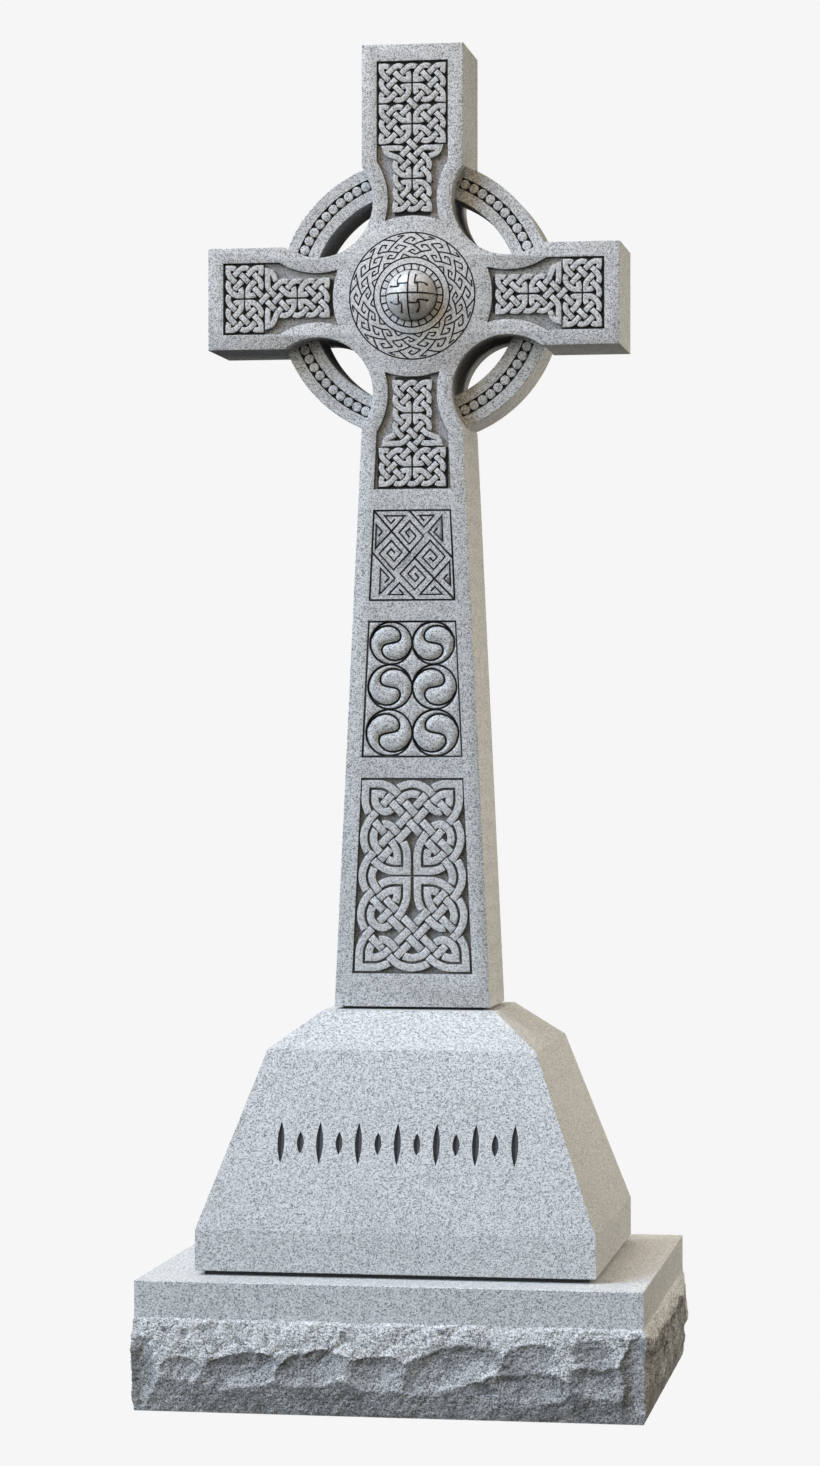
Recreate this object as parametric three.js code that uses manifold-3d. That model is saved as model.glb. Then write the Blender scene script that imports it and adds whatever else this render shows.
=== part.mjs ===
// Celtic cross headstone of grey granite: a base, a plinth and a ringed cross, stacked.
// Millimetres, +Z up, the carved front looks towards -Y, the origin is in the middle of the underside.

import * as THREE from "three";
import { ConvexGeometry } from "three/addons/geometries/ConvexGeometry.js";
import { mergeVertices } from "three/addons/utils/BufferGeometryUtils.js";
import Module from "manifold-3d";

const wasm = await Module();
wasm.setup();

// Driving dimensions of the three stones

const CLEARANCE = 0.3;
const CUT_OVERRUN = 2;
const SAME_POINT = 1e-4;

const BASE = { width: 762, depth: 640, height: 194, margin: 54.6 };

// Rock face: how far it stands out, where its ridge runs and how both waver from one column to the next
const ROCK = {
  bulge: 11,
  columnPitch: 80,
  levels: [0, 0.25, 0.5, 0.76, 1],
  ridge: (step) => 0.48 + 0.16 * Math.sin(1.9 * step) + 0.08 * Math.sin(4.3 * step + 1),
  swell: (step) => 0.78 + 0.22 * Math.sin(2.7 * step + 0.6),
};

const PLINTH = {
  bed: 6.7,
  bedInset: 13,
  foot: { width: 607, depth: 504, height: 61.5 },
  shoulder: { width: 411, depth: 366, height: 267.9 },
  top: { width: 270, depth: 225, height: 54.6 },
};

const STROKES = { count: 13, rowWidth: 356, tall: 64, short: 34, breadth: 9, depth: 2.4, middle: 131 };

const CROSS = {
  bed: 4.3,
  bedInset: 12,
  height: 1482.4,
  depth: 158.7,
  footWidth: 243,
  limbWidth: 158,
  span: 641.7,
  centreHeight: 1094,
  taperEnd: 893,
  pitOffset: 148.5,
  pitRadius: 87,
};

const RING = { outer: 217, inner: 164, depth: 99, middle: 190.5 };
const CHANNEL = { width: 17.7, depth: 6, endAngle: 21.8, steps: 6 };
const ROUNDEL = { radius: 97.5, line: 2.3, depth: 3, sides: 30 };
const BOSS = { radius: 39, height: 43, sides: 16, rings: 3 };

// Sunk panels and what is carved in them

const PANEL = { depth: 7, limbMargin: 23.5, topMargin: 26, shaftMargin: 25.5, hubRadius: 124, band: 33 };
const LIMB_PANEL_REACH = 297;
const KEY = { height: 138, line: 2.4, depth: 3.5, halfSteps: 5.33 };
const SPIRAL = { height: 208, columns: 2, rows: 3, line: 2.6, depth: 3.5, sides: 10, fill: 0.965 };
const CURL = { lead: 10, twist: 143, gain: 2.9, steps: 4, spread: 0.6 };
const BRAID = { height: 301, across: 3, along: 5, strap: 11.2, gap: 2.4, pitch: 14.8, edge: 1.2 };
const KNOT = { across: 21.4, strap: 9.2, gap: 2.2, start: 128, edge: 2.5, earReach: 49 };

const CIRCLE_STEPS = 36;

// How lines are drawn: the longest mitre at a bend, the least bend that counts, the least strap end
const LINE = { longestMitre: 2.6, leastBend: 0.02, shortest: 1.2 };

// Levels and lines that follow from them

const plinthFoot = BASE.height + PLINTH.bed;
const plinthBand = plinthFoot + PLINTH.foot.height;
const plinthShoulder = plinthBand + PLINTH.shoulder.height;
const plinthTop = plinthShoulder + PLINTH.top.height;
const crossFoot = plinthTop + CROSS.bed;
const crossTop = crossFoot + CROSS.height;
const centreZ = crossFoot + CROSS.centreHeight;
const frontFace = -CROSS.depth / 2;
const limbHalf = CROSS.limbWidth / 2;
const shaftTaper = (CROSS.footWidth / 2 - limbHalf) / CROSS.taperEnd;

const shaftHalf = (z) => CROSS.footWidth / 2 - shaftTaper * (z - crossFoot);
const panelHalf = (z) => shaftHalf(z) - PANEL.shaftMargin;
const point = (x, y) => new THREE.Vector2(x, y);

// Solids

function solid(geometry) {
  const bare = geometry.index ? geometry.toNonIndexed() : geometry.clone();
  bare.deleteAttribute("normal");
  bare.deleteAttribute("uv");
  const merged = mergeVertices(bare, SAME_POINT);
  const vertProperties = new Float32Array(merged.attributes.position.array);
  const triVerts = new Uint32Array(merged.index.array);
  return new wasm.Manifold(new wasm.Mesh({ numProp: 3, vertProperties, triVerts }));
}

function geometryOf(body) {
  const mesh = body.getMesh();
  const geometry = new THREE.BufferGeometry();
  geometry.setAttribute("position", new THREE.BufferAttribute(mesh.vertProperties, 3));
  geometry.setIndex(new THREE.BufferAttribute(mesh.triVerts, 1));
  return geometry;
}

const join = (bodies) => bodies.reduce((whole, body) => whole.add(body));

// An outline in the upright XZ plane, carried along Y from front to back
function slab(shape, front, back, curveSegments = CIRCLE_STEPS / 2) {
  const depth = back - front;
  const geometry = new THREE.ExtrudeGeometry(shape, { depth, bevelEnabled: false, curveSegments });
  geometry.rotateX(Math.PI / 2);
  geometry.translate(0, back, 0);
  return solid(geometry);
}

function circleShape(x, z, radius) {
  return new THREE.Shape().absarc(x, z, radius, 0, 2 * Math.PI);
}

function ringShape(x, z, outer, inner) {
  const shape = circleShape(x, z, outer);
  shape.holes.push(new THREE.Path().absarc(x, z, inner, 0, 2 * Math.PI));
  return shape;
}

function rectShape(x0, z0, x1, z1) {
  return new THREE.Shape([point(x0, z0), point(x1, z0), point(x1, z1), point(x0, z1)]);
}

// A cut into the front face, from just outside it down to the given depth
const frontCut = (shape, depth, steps) => slab(shape, frontFace - CUT_OVERRUN, frontFace + depth, steps);

// Plane lines

function offsetLine(path, distance, closed) {
  const last = path.length - 1;
  const turn = (from, to) => point(from.y - to.y, to.x - from.x).normalize();
  return path.map((here, index) => {
    const before = closed ? path[(index + last) % path.length] : path[Math.max(index - 1, 0)];
    const after = closed ? path[(index + 1) % path.length] : path[Math.min(index + 1, last)];
    const ahead = here.equals(after) ? turn(before, here) : turn(here, after);
    const behind = here.equals(before) ? ahead : turn(before, here);
    const mitre = ahead.clone().add(behind).normalize();
    const reach = Math.min(1 / mitre.dot(ahead), LINE.longestMitre);
    return here.clone().addScaledVector(mitre, distance * reach);
  });
}

function ribbon(path, width) {
  const left = offsetLine(path, width / 2, false);
  const right = offsetLine(path, -width / 2, false);
  return new THREE.Shape([...left, ...right.reverse()]);
}

// A closed line without the points that lie on a straight run
function straighten(loop) {
  return loop.filter((here, index) => {
    const into = here.clone().sub(loop[(index + loop.length - 1) % loop.length]).normalize();
    const onward = loop[(index + 1) % loop.length].clone().sub(here).normalize();
    return Math.abs(into.cross(onward)) > LINE.leastBend;
  });
}

// Knotwork on a lattice of cells, counted in half cells: an edge's middle has one even and one odd number.
// Strands run corner-wise from edge middle to edge middle, cross there, and turn back at a wall.

const spot = (x, y) => `${x},${y}`;

function latticeOf(blocks, columns) {
  const middle = columns;
  const cells = new Set();
  const walls = new Map();
  let start = 0;
  blocks.forEach(({ across, along }, order) => {
    for (let row = 0; row < along; row += 1) {
      for (let column = 0; column < across; column += 1) {
        cells.add(spot(middle - across + 1 + 2 * column, start + 2 * row + 1));
      }
    }
    const core = start + along;
    [-1, 1].forEach((side) => {
      walls.set(spot(middle, core + side), "upright");
      walls.set(spot(middle + side, core), "level");
    });
    if (order > 0) {
      for (let x = middle - across + 1; x < middle + across; x += 2) {
        if (x !== middle) walls.set(spot(x, start), "level");
      }
    }
    start += 2 * along;
  });
  return { cells, walls, columns, length: start };
}

function wallAt({ cells, walls }, x, y) {
  const inner = walls.get(spot(x, y));
  if (inner) return inner;
  const upright = x % 2 === 0;
  const [one, other] = upright ? [spot(x - 1, y), spot(x + 1, y)] : [spot(x, y - 1), spot(x, y + 1)];
  if (cells.has(one) && cells.has(other)) return null;
  return upright ? "upright" : "level";
}

function crossingsOf(lattice) {
  const found = [];
  for (let y = 0; y <= lattice.length; y += 1) {
    for (let x = 1 - (y % 2); x <= 2 * lattice.columns; x += 2) {
      const [one, other] = x % 2 === 0 ? [spot(x - 1, y), spot(x + 1, y)] : [spot(x, y - 1), spot(x, y + 1)];
      const inside = lattice.cells.has(one) && lattice.cells.has(other);
      if (inside && !lattice.walls.has(spot(x, y))) found.push(point(x, y));
    }
  }
  return found;
}

// Each strand as a closed list of stops: crossings and the walls that turn it
function traceStrands(lattice) {
  const seen = new Set();
  const strands = [];
  crossingsOf(lattice).forEach((start) => {
    [1, -1].forEach((lean) => {
      if (seen.has(`${spot(start.x, start.y)}/${lean}`)) return;
      const stops = [];
      let [x, y, dx, dy] = [start.x, start.y, 1, lean];
      do {
        const wall = wallAt(lattice, x, y);
        if (!wall) seen.add(`${spot(x, y)}/${dx * dy}`);
        stops.push({ x, y, dx, dy, wall });
        if (wall === "upright") dx = -dx;
        if (wall === "level") dy = -dy;
        [x, y] = [x + dx, y + dy];
      } while (x !== start.x || y !== start.y || dx * dy !== lean);
      strands.push(stops);
    });
  });
  return strands;
}

// The line of a strand: straight over crossings, cut across to run beside a wall, pointed where two walls
// meet. An ear is a wall stop that is drawn out sideways to a point instead.
function strandLine(stops, earAt = () => undefined) {
  const besideUpright = ({ x, dx }) => x - dx / 2;
  const besideLevel = ({ y, dy }) => y - dy / 2;
  const line = [];
  stops.forEach((stop, index) => {
    const next = stops[(index + 1) % stops.length];
    const ear = earAt(stop);
    if (ear) line.push(ear);
    else if (!stop.wall) line.push(point(stop.x, stop.y));
    if (ear || earAt(next)) return;
    if (stop.wall && next.wall) {
      const [upright, level] = stop.wall === "upright" ? [stop, next] : [next, stop];
      line.push(point(besideUpright(upright), besideLevel(level)));
    } else if (stop.wall || next.wall) {
      line.push(point((stop.x + next.x) / 2, (stop.y + next.y) / 2));
    }
  });
  return line;
}

function segmentHit(a, b, c, d) {
  const [u, v, w] = [b.clone().sub(a), d.clone().sub(c), c.clone().sub(a)];
  const across = u.cross(v);
  if (Math.abs(across) < SAME_POINT) return null;
  const s = w.cross(v) / across;
  const t = w.cross(u) / across;
  const inside = [s, t].every((share) => share > -SAME_POINT && share < 1 + SAME_POINT);
  return inside ? { s, t, sine: Math.abs(across) / (u.length() * v.length()), slash: u.x * u.y > 0 } : null;
}

function milestones(loop) {
  let sum = 0;
  return [0, ...loop.map((here, index) => (sum += here.distanceTo(loop[(index + 1) % loop.length])))];
}

// Where each closed strap passes under another: distances along it, with the length to clear on either side
function underpasses(loops, slashIsOver, clear) {
  const miles = loops.map(milestones);
  const under = loops.map(() => []);
  const note = (loop, segment, share, trim) => {
    const at = miles[loop][segment] + share * (miles[loop][segment + 1] - miles[loop][segment]);
    if (under[loop].every((mark) => Math.abs(mark.at - at) > LINE.shortest)) under[loop].push({ at, trim });
  };
  loops.forEach((one, i) => {
    one.forEach((a, m) => {
      const b = one[(m + 1) % one.length];
      for (let j = i; j < loops.length; j += 1) {
        const other = loops[j];
        for (let n = i === j ? m + 2 : 0; n < other.length; n += 1) {
          if (i === j && (n + 1) % other.length === m) continue;
          const hit = segmentHit(a, b, other[n], other[(n + 1) % other.length]);
          if (!hit) continue;
          const where = a.clone().lerp(b, hit.s);
          const trim = clear / hit.sine;
          if (slashIsOver(where) === hit.slash) note(j, n, hit.t, trim);
          else note(i, m, hit.s, trim);
        }
      }
    });
  });
  return under.map((marks, loop) => ({ marks: marks.sort((p, q) => p.at - q.at), miles: miles[loop] }));
}

// A stretch of a closed line between two distances along it, with no bend left right at its ends
function stretch(loop, miles, from, to) {
  const whole = miles[loop.length];
  const place = (mile) => {
    const wrapped = ((mile % whole) + whole) % whole;
    const segment = Math.min(miles.findLastIndex((mark) => mark <= wrapped), loop.length - 1);
    const share = (wrapped - miles[segment]) / (miles[segment + 1] - miles[segment]);
    return loop[segment].clone().lerp(loop[(segment + 1) % loop.length], share);
  };
  const line = [place(from)];
  for (let lap = 0; lap < 2; lap += 1) {
    loop.forEach((here, index) => {
      const mile = miles[index] + lap * whole;
      if (mile > from + LINE.shortest && mile < to - LINE.shortest) line.push(here);
    });
  }
  line.push(place(to));
  return line;
}

// The straps that show: each runs over one crossing and ends square against the straps that lie over it
function weave(loops, slashIsOver, { strap, gap }) {
  const straps = [];
  underpasses(loops, slashIsOver, strap / 2 + gap).forEach(({ marks, miles }, loop) => {
    marks.forEach((mark, index) => {
      const wraps = index === marks.length - 1;
      const next = marks[(index + 1) % marks.length];
      const end = next.at + (wraps ? miles[loops[loop].length] : 0);
      straps.push(ribbon(stretch(loops[loop], miles, mark.at + mark.trim, end - next.trim), strap));
    });
  });
  return straps;
}

// A sunk panel leaves its straps standing up to the face
function carve(panel, straps) {
  const [front, back] = [frontFace - 2 * CUT_OVERRUN, frontFace + PANEL.depth + CUT_OVERRUN];
  return panel.subtract(join(straps.map((shape) => slab(shape, front, back))));
}

const nearest = (spots, where) =>
  spots.reduce((best, each) => (each.distanceTo(where) < best.distanceTo(where) ? each : best));

// Knots of the four limbs

// A limb's own plane runs outwards from the crossing; turning it by quarter turns gives each limb
function limbPlace(turns) {
  const angle = (turns * Math.PI) / 2;
  return (across, along) => point(across, along).rotateAround(point(0, 0), angle).add(point(0, centreZ));
}

function limbKnot(turns, reach, blocks) {
  const columns = Math.max(...blocks.map(({ across }) => across));
  const lattice = latticeOf(blocks, columns);
  const place = limbPlace(turns);
  const halfCell = (reach - KNOT.edge - KNOT.start) / lattice.length;
  const set = ({ x, y }) => place(((x - columns) * KNOT.across) / 2, KNOT.start + y * halfCell);
  const [inner] = blocks;
  const earRow = 2 * inner.along - 1;
  const earX = (2 * KNOT.earReach) / KNOT.across;
  const earAt = ({ x, y, wall }) => {
    const outermost = Math.abs(x - columns) === inner.across;
    return wall === "upright" && y === earRow && outermost
      ? point(columns + Math.sign(x - columns) * earX, y + 0.5)
      : undefined;
  };
  const loops = traceStrands(lattice).map((stops) => straighten(strandLine(stops, earAt).map(set)));
  const spots = crossingsOf(lattice).map((each) => Object.assign(set(each), { upright: each.x % 2 === 0 }));
  const turned = turns % 2 !== 0;
  return weave(loops, (where) => nearest(spots, where).upright !== turned, KNOT);
}

function limbPanel(turns, reach, halfAt) {
  const place = limbPlace(turns);
  const corners = [[-1, 0], [1, 0], [1, reach], [-1, reach]];
  const strip = new THREE.Shape(corners.map(([side, along]) => place(side * halfAt(along), along)));
  const hub = circleShape(0, centreZ, PANEL.hubRadius);
  const pits = armpits(CROSS.pitRadius + PANEL.limbMargin, PANEL.depth + CUT_OVERRUN);
  return pits.reduce(
    (panel, pit) => panel.subtract(pit),
    frontCut(strip, PANEL.depth).subtract(frontCut(hub, PANEL.depth + CUT_OVERRUN)),
  );
}

function armpits(radius, depth) {
  const sides = [-1, 1];
  const centres = sides.flatMap((x) => sides.map((z) => point(x, z).multiplyScalar(CROSS.pitOffset)));
  return centres.map(({ x, y }) => {
    const shape = circleShape(x, centreZ + y, radius);
    return slab(shape, frontFace - 2 * CUT_OVERRUN, frontFace + depth);
  });
}

function limbCarving() {
  const inner = { across: 3, along: 5 };
  const outer = { across: 5, along: 3 };
  const straight = () => limbHalf - PANEL.limbMargin;
  const tapered = (along) => shaftHalf(centreZ - along) - PANEL.limbMargin;
  const topReach = crossTop - centreZ - PANEL.topMargin;
  const limbs = [
    { turns: 0, reach: topReach, halfAt: straight, blocks: [inner, outer, outer] },
    { turns: 1, reach: LIMB_PANEL_REACH, halfAt: straight, blocks: [inner, outer] },
    { turns: 2, reach: LIMB_PANEL_REACH, halfAt: tapered, blocks: [inner, outer] },
    { turns: 3, reach: LIMB_PANEL_REACH, halfAt: straight, blocks: [inner, outer] },
  ];
  return limbs.map(({ turns, reach, halfAt, blocks }) => {
    const panel = limbPanel(turns, reach, halfAt);
    return carve(panel, limbKnot(turns, reach, blocks));
  });
}

// Panels of the shaft, from the top down

function shaftPanelLevels() {
  const keyTop = centreZ - LIMB_PANEL_REACH - PANEL.band;
  const spiralTop = keyTop - KEY.height - PANEL.band;
  const braidTop = spiralTop - SPIRAL.height - PANEL.band;
  return { keyTop, spiralTop, braidTop };
}

// A place in a tapering panel, from -1 to 1 across and along
function panelPlace(top, height) {
  return (across, along) => {
    const z = top - height / 2 + (along * height) / 2;
    return point(across * panelHalf(z), z);
  };
}

function panelShape(place) {
  return new THREE.Shape([place(-1, -1), place(1, -1), place(1, 1), place(-1, 1)]);
}

// A line cut round the inside of a panel's edge
function borderCut(place, { line, depth }) {
  const corners = [place(-1, -1), place(1, -1), place(1, 1), place(-1, 1)];
  const shape = new THREE.Shape(corners);
  shape.holes.push(new THREE.Path(offsetLine(corners, line, true)));
  return frontCut(shape, depth);
}

const HEADINGS = { N: [0, 1], NE: [1, 1], SE: [1, -1], S: [0, -1], SW: [-1, -1], W: [-1, 0], NW: [-1, 1] };

// Key pattern: square coils on slanting lines. Each run is a start and a string of headings with lengths;
// the other half of the pattern is the same turned by half a turn.
const KEY_RUNS = [
  { start: [-5.28, 5.28], runs: "SE 5.05" },
  { start: [-0.33, 0.33], runs: "NE 1.9 NW 1.9 SW 1.45 SE 1.4 NE 0.95 NW 0.95 SW 0.5 SE 0.5" },
  { start: [-0.33, 0.33], runs: "SW 2.1 NW 1.95 NE 1.6 SE 1.45 SW 1.05 NW 0.95 NE 0.55 SE 0.45" },
  { start: [-2.83, 2.83], runs: "NE 1.87 W 2.9 SE 0.95 NE 0.5" },
  { start: [-2.83, 2.83], runs: "SW 2.1 N 3 SE 0.9 SW 0.5" },
  { start: [-0.43, 5.33], runs: "SE 2.05 NE 1.43 W 2.05 SE 0.62" },
  { start: [5.33, -0.4], runs: "NW 3.15 NE 1.95 S 3.2 NW 1.2 NE 0.5" },
];

function keyLines() {
  const lines = KEY_RUNS.map(({ start, runs }) => {
    const line = [point(...start)];
    const words = runs.split(" ");
    for (let word = 0; word < words.length; word += 2) {
      const [x, y] = HEADINGS[words[word]];
      line.push(line.at(-1).clone().addScaledVector(point(x, y), Number(words[word + 1])));
    }
    return line;
  });
  const turned = lines.map((line) => line.map(({ x, y }) => point(-x, -y)));
  return [...lines, ...turned];
}

function keyCarving(top) {
  const place = panelPlace(top, KEY.height);
  const set = ({ x, y }) => place(x / KEY.halfSteps, y / KEY.halfSteps);
  const cuts = keyLines().map((line) => frontCut(ribbon(line.map(set), KEY.line), KEY.depth));
  return join([...cuts, borderCut(place, KEY)]);
}

// Spiral panel: discs in rows, each parted by an S line into two commas, turning the other way in turn.
// The S line's angle grows with a power of the distance from the middle.
function spiralLine(centre, radius, hand) {
  const arm = Array.from({ length: CURL.steps + 1 }, (_, step) => {
    const share = (step / CURL.steps) ** CURL.spread;
    const angle = hand * THREE.MathUtils.degToRad(CURL.lead + CURL.twist * share ** CURL.gain);
    return point(Math.cos(angle), Math.sin(angle)).multiplyScalar(radius * share);
  });
  const back = arm.slice(1).map(({ x, y }) => point(-x, -y));
  return [...back.reverse(), ...arm].map((each) => each.add(centre));
}

function spiralCarving(top) {
  const place = panelPlace(top, SPIRAL.height);
  const cuts = [borderCut(place, SPIRAL)];
  const pitch = SPIRAL.height / SPIRAL.rows;
  for (let row = 0; row < SPIRAL.rows; row += 1) {
    for (let column = 0; column < SPIRAL.columns; column += 1) {
      const centre = place(column - 0.5, 1 - (2 * row + 1) / SPIRAL.rows);
      const radius = (pitch / 2) * SPIRAL.fill;
      const hand = (row + column) % 2 === 0 ? 1 : -1;
      const rim = ringShape(centre.x, centre.y, radius, radius - SPIRAL.line);
      cuts.push(frontCut(rim, SPIRAL.depth, SPIRAL.sides / 2));
      cuts.push(frontCut(ribbon(spiralLine(centre, radius, hand), SPIRAL.line), SPIRAL.depth));
    }
  }
  return join(cuts);
}

// Braid panel: the limbs' inner knot drawn large, with every strand doubled
function braidCarving(top) {
  const lattice = latticeOf([{ across: BRAID.across, along: BRAID.along }], BRAID.across);
  const inPanel = panelPlace(top, BRAID.height - 2 * BRAID.edge);
  const set = ({ x, y }) => {
    const place = inPanel(x / BRAID.across - 1, y / BRAID.along - 1);
    return point(place.x * (1 - BRAID.edge / panelHalf(place.y)), place.y);
  };
  const strands = traceStrands(lattice).map((stops) => straighten(strandLine(stops).map(set)));
  const doubled = strands.flatMap((line) =>
    [1, -1].map((side) => offsetLine(line, (side * BRAID.pitch) / 2, true)),
  );
  const spots = crossingsOf(lattice).map(set);
  const slashIsOver = (where) => {
    const away = where.clone().sub(nearest(spots, where));
    return Math.abs(away.x) > Math.abs(away.y);
  };
  const panel = frontCut(panelShape(panelPlace(top, BRAID.height)), PANEL.depth);
  return carve(panel, weave(doubled, slashIsOver, BRAID));
}

// Ring and roundel

function sectorShape(outer, inner, from, to) {
  const shape = new THREE.Shape();
  shape.absarc(0, centreZ, outer, from, to, false);
  shape.absarc(0, centreZ, inner, to, from, true);
  return shape;
}

const QUADRANTS = [0, 1, 2, 3].map((turn) => (turn * Math.PI) / 2);
const channelStart = THREE.MathUtils.degToRad(CHANNEL.endAngle);
const channelSpan = Math.PI / 2 - 2 * channelStart;
const channelFloor = -RING.depth / 2 + CHANNEL.depth;

function ringBody() {
  const half = RING.depth / 2;
  const ring = slab(ringShape(0, centreZ, RING.outer, RING.inner), -half, half);
  const [outer, inner] = [RING.middle + CHANNEL.width / 2, RING.middle - CHANNEL.width / 2];
  const channels = QUADRANTS.map((turn) => {
    const from = turn + channelStart;
    const shape = sectorShape(outer, inner, from, from + channelSpan);
    return slab(shape, -half - CUT_OVERRUN, channelFloor, CHANNEL.steps / 2);
  });
  return ring.subtract(join(channels));
}

function roundelCarving() {
  const circle = ringShape(0, centreZ, ROUNDEL.radius, ROUNDEL.radius - ROUNDEL.line);
  return frontCut(circle, ROUNDEL.depth, ROUNDEL.sides / 2);
}

function bossDome() {
  const profile = [point(0, -CUT_OVERRUN), point(BOSS.radius, -CUT_OVERRUN)];
  for (let ring = 0; ring < BOSS.rings; ring += 1) {
    const angle = (ring / BOSS.rings) * (Math.PI / 2);
    profile.push(point(BOSS.radius * Math.cos(angle), BOSS.height * Math.sin(angle)));
  }
  profile.push(point(0, BOSS.height));
  const geometry = new THREE.LatheGeometry(profile, BOSS.sides);
  geometry.rotateX(Math.PI);
  geometry.translate(0, frontFace, centreZ);
  return solid(geometry);
}

// The three stones

function boxBetween(width, depth, bottom, top) {
  const geometry = new THREE.BoxGeometry(width, depth, top - bottom);
  geometry.translate(0, 0, (top + bottom) / 2);
  return solid(geometry);
}

// Rock-pitched sides: rings of points round the block, pushed out between the foot and the pitched line.
// The push repeats after half a lap, so opposite sides match and the block stays centred.
function rockSides() {
  const top = BASE.height - BASE.margin;
  const { levels } = ROCK;
  const across = Math.round(BASE.width / ROCK.columnPitch);
  const deep = Math.round(BASE.depth / ROCK.columnPitch);
  const lap = 2 * (across + deep);
  const [halfX, halfY] = [BASE.width / 2, BASE.depth / 2];
  const push = (column, level) => {
    const step = column % (across + deep);
    const ridge = ROCK.ridge(step);
    const climb = level < ridge ? level / ridge : (1 - level) / (1 - ridge);
    return ROCK.bulge * ROCK.swell(step) * Math.sin((climb * Math.PI) / 2);
  };
  const place = (column, level) => {
    const out = push(column, level);
    const step = column % (across + deep);
    const sign = column < across + deep ? 1 : -1;
    const onFront = step < across;
    const corner = step === 0 || step === across;
    const x = onFront ? -halfX + (step * BASE.width) / across : halfX;
    const y = onFront ? -halfY : -halfY + ((step - across) * BASE.depth) / deep;
    const outX = step === 0 ? -out : onFront ? 0 : out;
    const outY = onFront || corner ? -out : 0;
    return [sign * (x + outX), sign * (y + outY), level * top];
  };
  const ring = (level) => Array.from({ length: lap }, (_, column) => place(column, level));
  const positions = levels.flatMap(ring).flat();
  const index = [];
  for (let row = 0; row < levels.length - 1; row += 1) {
    for (let column = 0; column < lap; column += 1) {
      const [a, b] = [row * lap + column, row * lap + ((column + 1) % lap)];
      index.push(a, b, b + lap, a, b + lap, a + lap);
    }
  }
  const [floor, lid] = [levels.length * lap, levels.length * lap + 1];
  positions.push(0, 0, 0, 0, 0, top);
  const lastRow = (levels.length - 1) * lap;
  for (let column = 0; column < lap; column += 1) {
    const next = (column + 1) % lap;
    index.push(floor, next, column, lid, lastRow + column, lastRow + next);
  }
  const geometry = new THREE.BufferGeometry();
  geometry.setAttribute("position", new THREE.Float32BufferAttribute(positions, 3));
  geometry.setIndex(index);
  return solid(geometry);
}

function baseStone() {
  const margin = boxBetween(BASE.width, BASE.depth, BASE.height - BASE.margin - CUT_OVERRUN, BASE.height);
  return rockSides().add(margin);
}

function plinthStone() {
  const { foot, shoulder, top } = PLINTH;
  const levels = [[foot, plinthFoot], [foot, plinthBand], [shoulder, plinthShoulder], [top, plinthTop]];
  const quarters = [[-0.5, -0.5], [0.5, -0.5], [0.5, 0.5], [-0.5, 0.5]];
  const corners = levels.flatMap(([{ width, depth }, z]) =>
    quarters.map(([x, y]) => new THREE.Vector3(x * width, y * depth, z)),
  );
  const bedWidth = foot.width - 2 * PLINTH.bedInset;
  const bedDepth = foot.depth - 2 * PLINTH.bedInset;
  const bed = boxBetween(bedWidth, bedDepth, BASE.height + CLEARANCE, plinthFoot + CUT_OVERRUN);
  return solid(new ConvexGeometry(corners)).add(bed).subtract(join(strokeRow()));
}

// A row of plain leaf-shaped chisel strokes, long and short in turn, square to the sloping front
function strokeRow() {
  const { foot, shoulder } = PLINTH;
  const lean = Math.atan2((foot.depth - shoulder.depth) / 2, shoulder.height);
  const share = STROKES.middle / shoulder.height;
  const faceY = -THREE.MathUtils.lerp(foot.depth, shoulder.depth, share) / 2;
  return Array.from({ length: STROKES.count }, (_, index) => {
    const x = (index / (STROKES.count - 1) - 0.5) * STROKES.rowWidth;
    const tall = (index % 2 === 0 ? STROKES.tall : STROKES.short) / 2;
    const wide = STROKES.breadth / 2;
    const leaf = new THREE.Shape([point(0, -tall), point(wide, 0), point(0, tall), point(-wide, 0)]);
    const depth = STROKES.depth + CUT_OVERRUN;
    const geometry = new THREE.ExtrudeGeometry(leaf, { depth, bevelEnabled: false });
    geometry.translate(0, 0, -STROKES.depth);
    geometry.rotateX(Math.PI / 2 - lean);
    geometry.translate(x, faceY, plinthBand + STROKES.middle);
    return solid(geometry);
  });
}

function crossStone() {
  const [front, back] = [frontFace, -frontFace];
  const shaftTop = shaftHalf(centreZ);
  const foot = CROSS.footWidth / 2;
  const shaft = new THREE.Shape([
    point(-foot, crossFoot),
    point(foot, crossFoot),
    point(shaftTop, centreZ),
    point(-shaftTop, centreZ),
  ]);
  const heart = CROSS.pitOffset - CROSS.pitRadius / 2;
  const outlines = [
    shaft,
    rectShape(-limbHalf, centreZ - CUT_OVERRUN, limbHalf, crossTop),
    rectShape(-CROSS.span / 2, centreZ - limbHalf, CROSS.span / 2, centreZ + limbHalf),
    rectShape(-heart, centreZ - heart, heart, centreZ + heart),
  ];
  const blank = join(outlines.map((shape) => slab(shape, front, back)));
  const hollows = armpits(CROSS.pitRadius, CROSS.depth + CUT_OVERRUN);
  const hollowed = hollows.reduce((body, pit) => body.subtract(pit), blank);
  const bedWidth = CROSS.footWidth - 2 * CROSS.bedInset;
  const bedDepth = CROSS.depth - 2 * CROSS.bedInset;
  const bed = boxBetween(bedWidth, bedDepth, plinthTop + CLEARANCE, crossFoot + CUT_OVERRUN);
  const { keyTop, spiralTop, braidTop } = shaftPanelLevels();
  const carvings = [
    ...limbCarving(),
    keyCarving(keyTop),
    spiralCarving(spiralTop),
    braidCarving(braidTop),
    roundelCarving(),
  ];
  return hollowed.add(ringBody()).add(bed).subtract(join(carvings)).add(bossDome());
}

const granite = { roughness: 0.75, metalness: 0 };

const STONES = [
  { name: "base", body: baseStone, color: 0xa9b0b6 },
  { name: "plinth", body: plinthStone, color: 0xb3bac0 },
  { name: "cross", body: crossStone, color: 0xb9c0c6 },
];

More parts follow.
